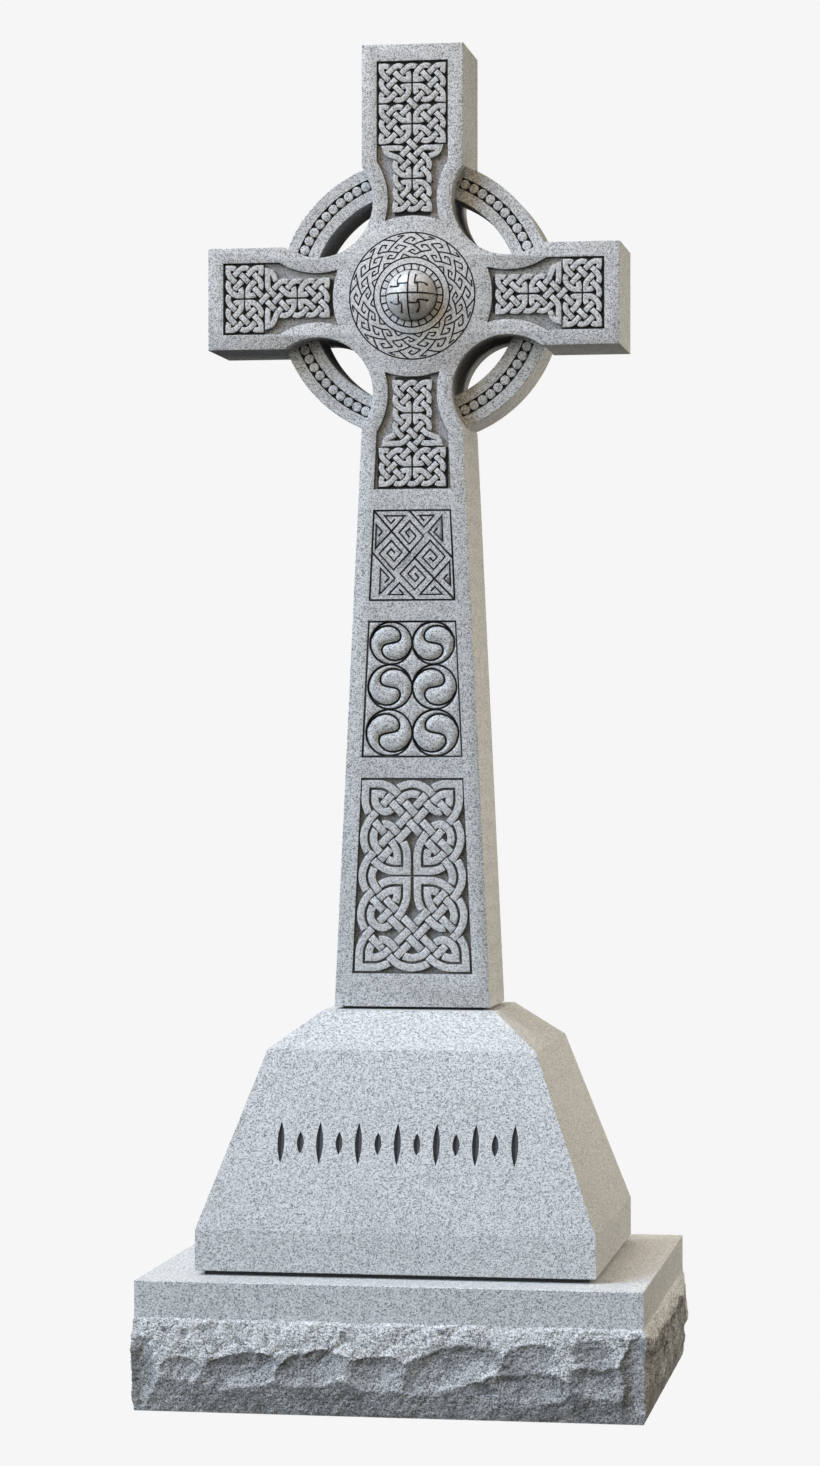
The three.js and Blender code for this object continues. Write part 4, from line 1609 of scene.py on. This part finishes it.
        # Painted shade on the outline's wall inside the ring, fading out beyond it
        within = self.ring[0] - np.linalg.norm(outline - self.centre, axis=1)
        hole_shade = self.hole_painted_shade * smooth_step(within / self.hole_shade_fade)
        shell.grid(np.stack(rows), np.outer(self.hole_shade_rows, hole_shade), wrap=True)
        shell.cap([rows[-1]])
        panels = [(self._limb_panel(turns), self.limb_floor_tone) for turns in range(4)]
        panels.append((self._shaft_panel(self.braid_top, self.braid_height), self.braid_floor_tone))
        openings = [self._pocket(shell, loop, tone) for loop, tone in panels]
        openings.append(self._key(shell))
        openings.append(self._spirals(shell))
        openings.append(self._roundel(shell))
        self._boss(shell)
        shell.cap([rows[0], *openings])
        self._ring(shell)
        # The setting bed, toned full dark: a dark joint, and painted shade in the gap round it
        bed = (self.foot_width / 2 - self.bed_inset, self.half_depth - self.bed_inset)
        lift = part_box("cross")[0].z / MM
        shell.tube(np.stack([rectangle(*bed, lift), rectangle(*bed, self.foot + self.edge)]), 1.0)

    def _pocket(self, shell: Shell, loop: Array, tone: float) -> Array:
        """Sinks a panel: an eased rim, a wall halfway between its floor's tone and full dark, and a floor.

        The darker rim and wall are painted shade.

        Args:
            shell: Takes the pocket.
            loop: The panel's counter-clockwise outline.
            tone: How dark its floor is.

        Returns:
            The opening that it leaves in the face.
        """
        rim = self.pocket_rim
        middle = self.edge_middle * rim
        # The wall's darkness, like the rim's, is painted shade
        wall = (1 + tone) / 2
        steps = [
            (-rim, 0, 0),
            (-middle, middle, self.pocket_rim_shade),
            (0, rim, wall),
            (0, self.sunk, wall),
            (self.pocket_cove, self.sunk, tone),
        ]
        rows = np.stack([self.at(inset(loop, shift), drop) for shift, drop, _ in steps])
        shell.grid(rows, np.array([dark for _, _, dark in steps])[:, None], wrap=True)
        shell.cap([rows[-1]], tone)
        return rows[0]

    def _limb(self, turns: int, across: Array, along: Array) -> Array:
        """Plan points from a limb's own plane, outwards from the centre, by quarter turns from the top."""
        cos, sin = math.cos(turns * math.pi / 2), math.sin(turns * math.pi / 2)
        return np.stack([across * cos - along * sin, across * sin + along * cos], axis=-1) + self.centre

    def _limb_panel(self, turns: int) -> Array:
        """The outline of a limb's panel: an arc round the hub, hollow sides, and a straight end.

        The angle at which the hollow meets the hub's circle follows from the triangle's three sides.

        Args:
            turns: Quarter turns from the top limb.

        Returns:
            Its plan points, counter-clockwise.
        """
        radius = self.pit_radius + self.limb_margin
        half = self.limb_half - self.limb_margin
        reach = self.top_reach if turns == 0 else self.limb_reach
        far = self.pit_offset * math.sqrt(2)
        turn = math.degrees(math.acos((far**2 + radius**2 - self.hub_radius**2) / (2 * far * radius)))
        begin = 225 - turn
        end = 90 + math.degrees(math.asin((self.pit_offset - half) / radius))
        side = arc((self.pit_offset, self.pit_offset), radius, begin, end, self.arc_steps // 2)
        mouth = math.degrees(math.atan2(side[0, 1], side[0, 0]))
        hub = arc((0, 0), self.hub_radius, 180 - mouth, mouth, self.arc_steps // 2)
        far_half = half if turns != 2 else float(self.shaft_half(self.centre[1] - reach)) - self.limb_margin
        left = side[::-1] * (-1, 1)
        corners = np.array([(far_half, reach), (-far_half, reach)])
        own = np.concatenate([hub[:-1], side, corners, left[:-1]])
        return self._limb(turns, own[:, 0], own[:, 1])

    def _limb_knots(self, shell: Shell) -> None:
        """The four limbs' straps over dark slabs of painted shade, each limb's knot turned to its place.

        Args:
            shell: Takes the straps and the slabs of painted shade.
        """
        inner, outer = self.inner_block, self.outer_block
        straps = Strapwork(*self.knot_strap, self.sunk)
        for turns in range(4):
            blocks = [inner, outer, outer] if turns == 0 else [inner, outer]
            reach = self.top_reach if turns == 0 else self.limb_reach
            lattice = Lattice(blocks, 2 * self.ear_reach / self.knot_cell)
            rise = (reach - self.knot_edge - self.knot_start) / lattice.length
            scale = np.array([self.knot_cell / 2, rise])
            shift = np.array([-lattice.columns * scale[0], self.knot_start])
            loops = [line * scale + shift for line in lattice.lines()]
            cells = lattice.crossings()
            spots = cells * scale + shift
            upright = cells[:, 0] % 2 == 0

            def slash_over(where: Array, spots: Array = spots, upright: Array = upright) -> bool:
                """At an upright edge the strap that rises to the right is over."""
                return bool(upright[np.argmin(((spots - where) ** 2).sum(axis=-1))])

            def place(plan: Array, drop: Array, turns: int = turns) -> Array:
                """The limb's place in the stone."""
                return self.at(self._limb(turns, plan[..., 0], plan[..., 1]), drop)

            waist = self.knot_start + 2 * inner.along * rise
            narrow = (inner.across - self.shade_slab_edge) * scale[0]
            wide = self.limb_half - self.limb_margin - self.shade_slab_gap
            # Full-dark slabs just above the pocket floor, painted shade in the knot's gaps: one under the
            # inner block, one under the rest
            for half, low, high in ((narrow, self.hub_radius, waist), (wide, waist, reach - self.shade_slab_gap)):
                plan = np.array([(-half, low), (half, low), (half, high), (-half, high)])
                drops = np.broadcast_to([[self.sunk + self.footing], [self.sunk - self.shade_slab_gap]], (2, 4))
                shell.tube(place(np.stack([plan, plan]), drops), 1.0)
            for path in straps.straps(loops, slash_over):
                straps.lay(shell, path, place)

    def _shaft_panel(self, top: float, height: float, beyond: float = 0) -> Array:
        """The corners of a panel on the tapering shaft, or of a rim round it.

        Args:
            top: The panel's upper level.
            height: Its height.
            beyond: How far the rim lies outside it.

        Returns:
            The corners, counter-clockwise.
        """
        levels = np.repeat([top - height - beyond, top + beyond], 2)
        half = self.shaft_half(levels) - self.shaft_margin + beyond
        return np.stack([np.array([-1, 1, 1, -1]) * half, levels], axis=-1)

    def _in_panel(self, top: float, height: float, place: Array, edge: float = 0) -> Array:
        """Plan points from places between -1 and 1 in a shaft panel, less an edge that stays free."""
        z = top - height / 2 + place[..., 1] * (height / 2 - edge)
        return np.stack([place[..., 0] * (self.shaft_half(z) - self.shaft_margin - edge), z], axis=-1)

    def _in_braid(self, lattice: Lattice, place: Array) -> Array:
        """Plan points from lattice places, a little wider apart beside the panel's middle line.

        The widening falls off as a bell curve of the distance from a line beside the middle one.

        Args:
            lattice: The braid's lattice.
            place: Places in half cells.

        Returns:
            The plan points.
        """
        share = place / np.array([lattice.columns, lattice.length / 2]) - 1
        beside = self.braid_spread_place / lattice.columns
        off = (np.abs(share[..., :1]) - beside) / self.braid_spread_width
        spread = 1 + self.braid_spread * np.exp(-(off**2))
        share = share * np.concatenate([spread, np.ones_like(spread)], axis=-1)
        return self._in_panel(self.braid_top, self.braid_height, share, self.braid_edge)

    def _braid(self, shell: Shell) -> None:
        """The large knot of the shaft: the limbs' inner block with doubled strands and opened crossings.

        Args:
            shell: Takes the straps.
        """
        straps = Strapwork(*self.braid_strap, self.sunk)
        lattice = Lattice([self.inner_block])
        lines = [self._in_braid(lattice, line) for line in lattice.lines()]
        loops = [inset(line, side * self.braid_pitch / 2) for line in lines for side in (1, -1)]
        spots = self._in_braid(lattice, lattice.crossings())
        for x, y in self.braid_opened:
            inner = np.array([math.copysign(self.braid_pitch, lattice.columns - x), 0])
            loops = uncrossed(loops, self._in_braid(lattice, np.array([x, y])) + inner, self.braid_bend)

        def slash_over(where: Array) -> bool:
            """Left and right of a crossing the strap that rises to the right is over."""
            away = where - spots[np.argmin(((spots - where) ** 2).sum(axis=-1))]
            return bool(abs(away[0]) > abs(away[1]))

        for path in straps.straps(loops, slash_over):
            straps.lay(shell, path, self.at)

    def _key(self, shell: Shell) -> Array:
        """The key panel: cut lines of slanting square coils inside a border.

        Args:
            shell: Takes the panel.

        Returns:
            The opening in the face.
        """
        lines = [self._in_panel(self.key_top, self.key_height, line / KEY_HALF) for line in key_lines()]
        lines.append(closed(self._shaft_panel(self.key_top, self.key_height)))
        rim = self._shaft_panel(self.key_top, self.key_height, self.panel_rim)
        panel = Panel(rim, [Cut(line, *self.key_cut) for line in lines])
        shell.patch(self.at(panel.points, panel.drop), panel.faces, panel.tone)
        return self.at(rim, 0)

    def _spiral_lines(self) -> tuple[list[Array], Array]:
        """The spiral panel's lines: its border, and each disc's circle and the line that parts it.

        The parting line's angle grows with a power of the distance from the disc's middle, and discs turn
        left and right in turn.

        Returns:
            The lines, and each disc's middle and radius.
        """
        rows, gap = self.spiral_rows, self.spiral_gap
        reach = np.linspace(-1, 1, self.spiral_steps + 1)[:, None]
        swing = np.radians(self.spiral_lead + self.spiral_twist * np.abs(reach) ** self.spiral_power)
        lines = [closed(self._shaft_panel(self.spiral_top, self.spiral_height))]
        discs = []
        level = self.spiral_top - gap
        middles = self.spiral_top - (np.arange(rows) + 0.5) * self.spiral_height / rows
        halves = self.shaft_half(middles) - self.shaft_margin
        fill = (self.spiral_height - (rows + 1) * gap) / (2 * halves.sum())
        for row, radius in enumerate(halves * fill):
            for side in (-1, 1):
                middle = np.array([side * (radius + gap / 2), level - radius])
                angle = swing * (side if row % 2 else -side)
                way = np.concatenate([np.cos(angle), np.sin(angle)], axis=1)
                lines.append(middle + radius * reach * way)
                lines.append(arc(middle, radius, 0, 360, self.disc_steps))
                discs.append((*middle, radius))
            level -= 2 * radius + gap
        return lines, np.array(discs)

    def _spirals(self, shell: Shell) -> Array:
        """The spiral panel: discs parted into two pillowed commas each.

        The stone falls towards each cut line by the square of one less the distance over a width.

        Args:
            shell: Takes the panel.

        Returns:
            The opening in the face.
        """
        lines, discs = self._spiral_lines()
        rim = self._shaft_panel(self.spiral_top, self.spiral_height, self.panel_rim)
        fill = staggered(rim.min(axis=0), rim.max(axis=0), self.pillow_pitch)
        fill = fill[self._within(fill, self.spiral_top, self.spiral_height)]
        panel = Panel(rim, [Cut(line, *self.spiral_cut) for line in lines], fill)
        away = np.linalg.norm(panel.points[:, None] - discs[:, :2], axis=-1)
        in_disc = (away < discs[:, 2]).any(axis=1)
        inside = self._within(panel.points, self.spiral_top, self.spiral_height)
        high, wide = (np.where(in_disc, *sizes) for sizes in zip(self.disc_pillow, self.corner_pillow))
        fall = high * inside * (1 - np.minimum(panel.gap / wide, 1)) ** 2
        shell.patch(self.at(panel.points, panel.drop + fall), panel.faces, panel.tone)
        return self.at(rim, 0)

    def _within(self, points: Array, top: float, height: float) -> Array:
        """Whether plan points lie inside a shaft panel."""
        level = (points[:, 1] < top) & (points[:, 1] > top - height)
        return level & (np.abs(points[:, 0]) < self.shaft_half(points[:, 1]) - self.shaft_margin)

    def _roundel(self, shell: Shell) -> Array:
        """The fretted roundel: a low dome that falls with the square of the distance from its middle.

        Args:
            shell: Takes the roundel, which is open where the boss stands.

        Returns:
            The opening in the face.
        """
        boss, rim, steps = self.boss_radius, self.roundel_radius, self.roundel_steps
        flat = Panel(arc((0, 0), rim, 0, 360, steps)[:-1], roundel_cuts(boss, self.boss_foot, steps))
        far = np.linalg.norm(flat.points, axis=-1)
        outside = far[flat.faces].mean(axis=1) > boss * self.boss_seam
        rise = self.dome * (1 - (far / rim) ** 2)
        tone = (1 + self.roundel_pale) * flat.tone - self.roundel_pale
        shell.patch(self.at(flat.points + self.centre, flat.drop - rise), flat.faces[outside], tone)
        return self.at(flat.border + self.centre, 0)

    def _boss(self, shell: Shell) -> None:
        """The boss in the roundel's middle: half an ellipsoid, with cuts that sink along its normals.

        Its panel is a disc whose distance from the middle is the angle from the tip, so that lines seen
        from the front keep their width over the curve.

        Args:
            shell: Takes the boss.
        """
        boss, high, whole = self.boss_radius, self.boss_height, self.boss_unrolled
        edge = arc((0, 0), whole + self.boss_foot, 0, 360, self.roundel_steps)[:-1]
        reach = whole + self.boss_foot - self.boss_clear
        fill = staggered(edge.min(axis=0), edge.max(axis=0), self.boss_pitch, reach)
        panel = Panel(edge, boss_cuts(boss, whole), fill)
        far = np.linalg.norm(panel.points, axis=-1)
        tilt = np.minimum(far / whole, 1) * np.pi / 2
        way = panel.points / np.maximum(far, TINY)[:, None]
        normal = unit(np.stack([np.sin(tilt) / boss, np.cos(tilt) / high], axis=-1))
        sink = np.where(far < whole - self.boss_clear, panel.drop, 0)
        plan = way * (boss * np.sin(tilt) - sink * normal[:, 0])[:, None]
        seat = np.maximum(far - whole, 0) - self.dome * (1 - (boss / self.roundel_radius) ** 2)
        drop = seat - high * np.cos(tilt) + sink * normal[:, 1]
        tone = (1 + self.boss_pale) * panel.tone - self.boss_pale
        shell.patch(self.at(plan + self.centre, drop), panel.faces, tone, -self.boss_polish)

    def _ring(self, shell: Shell) -> None:
        """The ring's four quarters: a squared section with a channel, carried along an arc into both limbs.

        Args:
            shell: Takes the quarters.
        """
        inner, outer, deep = self.ring
        middle, width, sink = self.channel
        front, edge, ease = -deep / 2, self.edge, self.channel_edge
        low, high = middle - width / 2, middle + width / 2
        section = np.array([
            (outer, front + edge), (outer - edge, front), (high + ease, front), (high, front + ease),
            (high, front + sink), (low, front + sink), (low, front + ease), (low - ease, front),
            (inner + edge, front), (inner, front + edge), (inner, -front - edge), (inner + edge, -front),
            (outer - edge, -front), (outer, -front - edge),
        ])
        plain = section.copy()
        plain[self.CHANNEL, 1] = front
        start, end = self.channel_start, 90 - self.channel_start
        lane = np.linspace(start, end, self.channel_steps + 1)
        lead = [self.ring_start, start - self.channel_wall]
        angles = np.concatenate([lead, lane, [end + self.channel_wall, 90 - self.ring_start]])
        open_row = (angles >= start) & (angles <= end)
        shape = np.where(open_row[:, None, None], section[None], plain[None])
        tone = np.zeros(shape.shape[:2])
        tone[:, self.CHANNEL_FLOOR] = np.where(open_row, 1.0, 0)[:, None]
        # Painted shade on the ring's walls towards the holes
        tone[:, self.HOLE_WALL] = self.hole_painted_shade
        for quarter in range(4):
            turn = np.radians(angles + 90 * quarter)[:, None]
            x, z = shape[..., 0] * np.cos(turn), shape[..., 0] * np.sin(turn)
            shell.tube(np.stack([x, shape[..., 1], z + self.centre[1]], axis=-1), tone)

    def _beads(self, shell: Shell) -> None:
        """Flat round beads in the ring's channel: a low disc with an eased edge, set at even angles.

        Args:
            shell: Takes the beads.
        """
        middle, _, sink = self.channel
        face = -self.ring[2] / 2
        reach = np.array(self.bead_reaches)[:, None] * self.bead_radius
        drop = np.array([*self.bead_drops, sink + self.footing])[:, None]
        turn = np.radians(np.linspace(0, 360, self.bead_steps, endpoint=False))[None]
        tone = smooth_step((drop - self.bead_shade) / sink)
        span = (90 - 2 * self.channel_start) / self.beads
        for quarter in range(4):
            for bead in range(self.beads):
                angle = math.radians(90 * quarter + self.channel_start + span * (bead + 0.5))
                x = middle * math.cos(angle) + reach * np.cos(turn)
                z = middle * math.sin(angle) + reach * np.sin(turn) + self.centre[1]
                disc = np.stack(np.broadcast_arrays(x, face + drop, z), axis=-1)
                shell.grid(disc, np.broadcast_to(tone, disc.shape[:2]), wrap=True)
                shell.cap([disc[-1]], 1.0)


# Cut lines

KEY_HALF = 5.33
HEADINGS = {
    "N": (0, 1), "NE": (1, 1), "SE": (1, -1), "S": (0, -1), "SW": (-1, -1), "W": (-1, 0), "NW": (-1, 1),
}

# Half of the key pattern: a start and headings with lengths, in steps of which KEY_HALF make half a panel
KEY_RUNS = (
    ((-5.33, 5.33), "SE 5.10"),
    ((-0.33, 0.33), "NE 1.9 NW 1.9 SW 1.45 SE 1.4 NE 0.95 NW 0.95 SW 0.5 SE 0.5"),
    ((-0.33, 0.33), "SW 2.1 NW 1.95 NE 1.6 SE 1.45 SW 1.05 NW 0.95 NE 0.55 SE 0.45"),
    ((-2.83, 2.83), "NE 1.87 W 2.9 SE 0.95 NE 0.5"),
    ((-2.83, 2.83), "SW 2.1 N 3 SE 0.9 SW 0.5"),
    ((-0.43, 5.33), "SE 2.05 NE 1.43 W 2.05 SE 0.62"),
    ((5.33, -0.4), "NW 3.15 NE 1.95 S 3.2 NW 1.2 NE 0.5"),
)


def key_lines() -> list[Array]:
    """The key pattern's lines: each run's headings added up, and the same turned by half a turn.

    Returns:
        The lines, in steps round the panel's middle.
    """
    lines = []
    for start, runs in KEY_RUNS:
        words = runs.split()
        ways = np.array([HEADINGS[word] for word in words[::2]])
        steps = ways * np.array(words[1::2], dtype=float)[:, None]
        line = np.cumsum(np.concatenate([[start], steps]), axis=0)
        lines += [line, -line]
    return lines


# One unit of the roundel's fret: degrees clockwise from the top and distances from the middle
FRET_UNIT = (
    ((2.7, 97.4), (12.8, 88.15)),
    ((16.2, 94.4), (22.7, 94.1), (1.4, 78.0)),
    ((-9.0, 84.3), (1.4, 78.0), (12.8, 69.0)),
    ((-9.0, 84.3), (-1.0, 90.8), (3.5, 87.85), (0.4, 84.45)),
    ((12.8, 69.0), (23.7, 75.8), (15.2, 81.2), (10.7, 78.8), (12.8, 75.8)),
    ((12.8, 69.0), (4.7, 63.3), (-4.0, 68.4), (1.4, 71.5), (4.0, 69.1)),
    ((13.0, 59.0), (19.0, 65.4), (27.7, 59.0)),
)
FRET_REPEATS = 12
FRET_CIRCLES = (48.8, 59.0, 97.5)

# Pieces of a fret line's segments, half width and depth of its cuts, half width of the cut round the boss's
# foot, and the gap between that line and the ticks
FRET_PIECES = 3
FRET_CUT = (1.05, 2.0)
FOOT_HALF = 1.8
TICK_GAP = 1


def dense(line: Array, pieces: int) -> Array:
    """A line with each of its segments cut into equal pieces."""
    marks = np.linspace(0, len(line) - 1, (len(line) - 1) * pieces + 1)
    return np.stack([np.interp(marks, np.arange(len(line)), line[:, axis]) for axis in (0, 1)], axis=-1)


def roundel_cuts(boss: float, foot: float, steps: int) -> list[Cut]:
    """The roundel's circles, its fret and the ticks round the boss.

    Args:
        boss: The boss's radius.
        foot: Depth of the cut round the boss's foot.
        steps: How many chords a circle has.

    Returns:
        The cuts, round the middle.
    """
    lines = [arc((0, 0), radius, 0, 360, steps) for radius in FRET_CIRCLES]
    for unit_line in FRET_UNIT:
        degrees, radius = dense(np.array(unit_line), FRET_PIECES).T
        for repeat in range(FRET_REPEATS):
            turn = np.radians(degrees + 360 / FRET_REPEATS * repeat)
            lines.append(np.stack([radius * np.sin(turn), radius * np.cos(turn)], axis=-1))
    for tick in range(2 * FRET_REPEATS):
        turn = np.pi / FRET_REPEATS * tick
        way = np.array([math.sin(turn), math.cos(turn)])
        lines.append(np.stack([way * (boss + TICK_GAP), way * FRET_CIRCLES[0]]))
    round_foot = Cut(arc((0, 0), boss, 0, 360, steps), FOOT_HALF, foot)
    return [round_foot, *(Cut(line, *FRET_CUT) for line in lines)]


# The boss seen from the front: the lines in each quarter, and the pockets at their joints and ends
BOSS_LINES = (
    ((15.0, 0.0), (15.0, 14.5)),
    ((10.3, 15.0), (10.2, 21.0), (10.8, 29.5)),
    ((13.5, 16.4), (20.0, 17.0), (24.5, 15.5), (28.5, 12.5)),
)
BOSS_POCKETS = (
    ((12.3, 14.8), (13.5, 14.8)),
    ((26.5, 14.0), (28.5, 12.8)),
    ((11.2, 27.2), (11.0, 29.2)),
)

# Half width and depth of the boss's cuts, and how many pieces the segments of each kind have
BOSS_CUT = (1.35, 1.9)
POCKET_CUT = (2.3, 2.4)
BOSS_CROSS_PIECES = 24
BOSS_LINE_PIECES = 4
BOSS_POCKET_PIECES = 2


def quarter_turns(points: Sequence[Sequence[float]]) -> list[Array]:
    """Plan points turned by none to three quarter turns: their products with the powers of one turn."""
    turns = [np.linalg.matrix_power([[0, 1], [-1, 0]], count) for count in range(4)]
    return [np.array(points) @ turn for turn in turns]


def boss_cuts(reach: float, whole: float) -> list[Cut]:
    """The boss's cuts: a cross to its rim, and lines and pockets in each quarter.

    Each point's distance from the middle becomes the angle from the tip, the arc sine of its share.

    Args:
        reach: The boss's radius.
        whole: The distance that stands for a quarter turn.

    Returns:
        The cuts on the unrolled boss.
    """
    cross = [np.array([(0.0, -reach), (0.0, reach)]), np.array([(-reach, 0.0), (reach, 0.0)])]
    hooks = [line for hook in BOSS_LINES for line in quarter_turns(hook)]
    pockets = [line for pocket in BOSS_POCKETS for line in quarter_turns(pocket)]
    drawn = [(dense(line, BOSS_CROSS_PIECES), BOSS_CUT) for line in cross]
    drawn += [(dense(line, BOSS_LINE_PIECES), BOSS_CUT) for line in hooks]
    drawn += [(dense(line, BOSS_POCKET_PIECES), POCKET_CUT) for line in pockets]
    cuts = []
    for line, sizes in drawn:
        far = np.linalg.norm(line, axis=-1, keepdims=True)
        angle = np.arcsin(np.minimum(far / reach, 1))
        cuts.append(Cut(line / np.maximum(far, TINY) * angle * whole * 2 / np.pi, *sizes))
    return cuts


# Stage


def shone_from(x: float, y: float, z: float) -> Triple:
    """The turn of a lamp that shines from a direction: tilted from the upright, then swung round it."""
    return (math.atan2(math.hypot(x, y), z), 0, math.atan2(x, -y))


@dataclass(frozen=True)
class Sun:
    """A soft distant light: where it comes from, how strong, how wide and its colour."""

    name: str
    source: Triple
    strength: float
    width: float
    colour: Colour

    def place(self) -> None:
        """Adds the light, turned so that it shines from its source towards the middle."""
        light = bpy.data.lights.new(self.name, "SUN")
        light.energy = self.strength
        light.angle = math.radians(self.width)
        light.color = self.colour
        lamp = bpy.data.objects.new(self.name, light)
        lamp.rotation_euler = shone_from(*self.source)
        bpy.context.scene.collection.objects.link(lamp)


@dataclass(frozen=True)
class Softbox:
    """A square lamp near the stone: where it is, what it is aimed at, its side, power and colour."""

    name: str
    place_at: Triple
    aim: Triple
    side: float
    power: float
    colour: Colour

    def place(self) -> None:
        """Adds the lamp, turned towards its aim and unseen by the camera."""
        light = bpy.data.lights.new(self.name, "AREA")
        light.energy = self.power
        light.size = self.side
        light.color = self.colour
        lamp = bpy.data.objects.new(self.name, light)
        lamp.location = self.place_at
        lamp.rotation_euler = shone_from(*(np.array(self.place_at) - self.aim))
        lamp.visible_camera = False
        bpy.context.scene.collection.objects.link(lamp)


@dataclass
class Studio:
    """A plain pale floor and backdrop, soft lights and the camera at the photograph's place.

    The world's light is even in front and falls off evenly behind, down to its least.
    """

    backdrop: float = 0.922
    floor_half: float = 12.0
    floor_drop: float = 0.002
    sky: Colour = (0.70, 0.64, 0.52)
    ground: Colour = (0.06, 0.055, 0.05)
    rear_start: float = 0.1
    rear_fall: float = 1.15
    rear_least: float = 0.04
    camera_place: Triple = (0.92485, -5.78428, 1.00256)
    camera_tilt: float = 90.077
    camera_turn: float = 9.241
    lens: float = 92.24
    sight: float = 200
    lamps: tuple[Sun | Softbox, ...] = (
        Sun("high window", (-0.55, -0.42, 0.72), 2.2, 30, (0.26, 0.52, 1.0)),
        Sun("low window", (-0.80, -0.55, 0.25), 1.97, 30, (0.86, 0.97, 1.0)),
        Sun("skylight", (-0.45, -0.18, 0.87), 1.8, 30, (1.0, 0.98, 0.88)),
        Sun("side window", (0.85, 0.30, 0.40), 0.3, 40, (1.0, 0.86, 0.60)),
        Sun("back window", (-0.35, 0.90, 0.28), 0.9, 30, (1.0, 0.94, 0.82)),
        Softbox("side lamp", (1.6, 0.5, 1.05), (0.0, 0.0, 1.0), 0.8, 16.5, (1.0, 0.94, 0.82)),
        Softbox("ceiling lamp", (-0.2, -1.8, 3.6), (0.0, 0.0, 1.7), 1.4, 15, (1.0, 0.60, 0.25)),
    )

    def build(self) -> None:
        """Sets up world, floor, lamps and camera."""
        self._world()
        self._floor()
        for lamp in self.lamps:
            lamp.place()
        camera = bpy.data.cameras.new("camera")
        camera.lens = self.lens
        camera.clip_end = self.sight
        eye = bpy.data.objects.new("camera", camera)
        eye.location = self.camera_place
        eye.rotation_euler = (math.radians(self.camera_tilt), 0, math.radians(self.camera_turn))
        bpy.context.scene.collection.objects.link(eye)
        bpy.context.scene.camera = eye
        bpy.context.scene.view_settings.view_transform = "Standard"

    def _world(self) -> None:
        """A pale backdrop to look at, and an even light from the front and above over a dark ground."""
        world = bpy.data.worlds.new("studio")
        world.use_nodes = True
        book = NodeBook(world.node_tree)
        way = book.add("ShaderNodeTexCoord", output="Generated")
        y, z = (book.add("ShaderNodeSeparateXYZ", None, {0: way}, axis) for axis in "YZ")
        above = book.add("ShaderNodeMath", {"operation": "GREATER_THAN"}, {0: z, 1: 0.0})
        tint = book.mix(above, (*self.ground, 1.0), (*self.sky, 1.0))
        front = (1 - (y - self.rear_start).at_least(0) * self.rear_fall).at_least(self.rear_least)
        lit = book.add("ShaderNodeBackground", None, {"Color": tint, "Strength": front})
        seen = book.add("ShaderNodeBackground", None, {"Color": self._plain()})
        camera_ray = book.add("ShaderNodeLightPath", output="Is Camera Ray")
        surface = book.add("ShaderNodeMixShader", None, {0: camera_ray, 1: lit, 2: seen})
        book.add("ShaderNodeOutputWorld", None, {"Surface": surface})
        bpy.context.scene.world = world

    def _floor(self) -> None:
        """A wide plain floor just under the base, pale as the backdrop and without a part in the light."""
        half = self.floor_half
        corners = [(x * half, y * half, -self.floor_drop) for x, y in ((-1, -1), (1, -1), (1, 1), (-1, 1))]
        sheet = bpy.data.meshes.new("floor")
        sheet.from_pydata(corners, [], [(0, 1, 2, 3)])
        paint = bpy.data.materials.new("floor")
        paint.use_nodes = True
        book = NodeBook(paint.node_tree)
        pale = book.add("ShaderNodeEmission", None, {"Color": self._plain()})
        book.add("ShaderNodeOutputMaterial", None, {"Surface": pale})
        sheet.materials.append(paint)
        floor = bpy.data.objects.new("floor", sheet)
        floor.visible_diffuse = False
        floor.visible_glossy = False
        floor.visible_shadow = False
        bpy.context.scene.collection.objects.link(floor)

    def _plain(self) -> tuple[float, float, float, float]:
        """The backdrop's tone as an opaque colour."""
        return (self.backdrop, self.backdrop, self.backdrop, 1.0)


def main() -> None:
    """Clears the start-up scene, sets the studio and builds the three stones."""
    logging.basicConfig(level=logging.INFO, format="%(name)s %(message)s")
    for label in ("Cube", "Light", "Camera"):
        found = bpy.data.objects.get(label)
        if found:
            bpy.data.objects.remove(found)
    Studio().build()
    Base().build(Granite("base_granite").material())
    Plinth().build(Granite("plinth_granite").material())
    Cross().build(Granite("cross_granite").material())


if __name__ == "__main__":
    main()
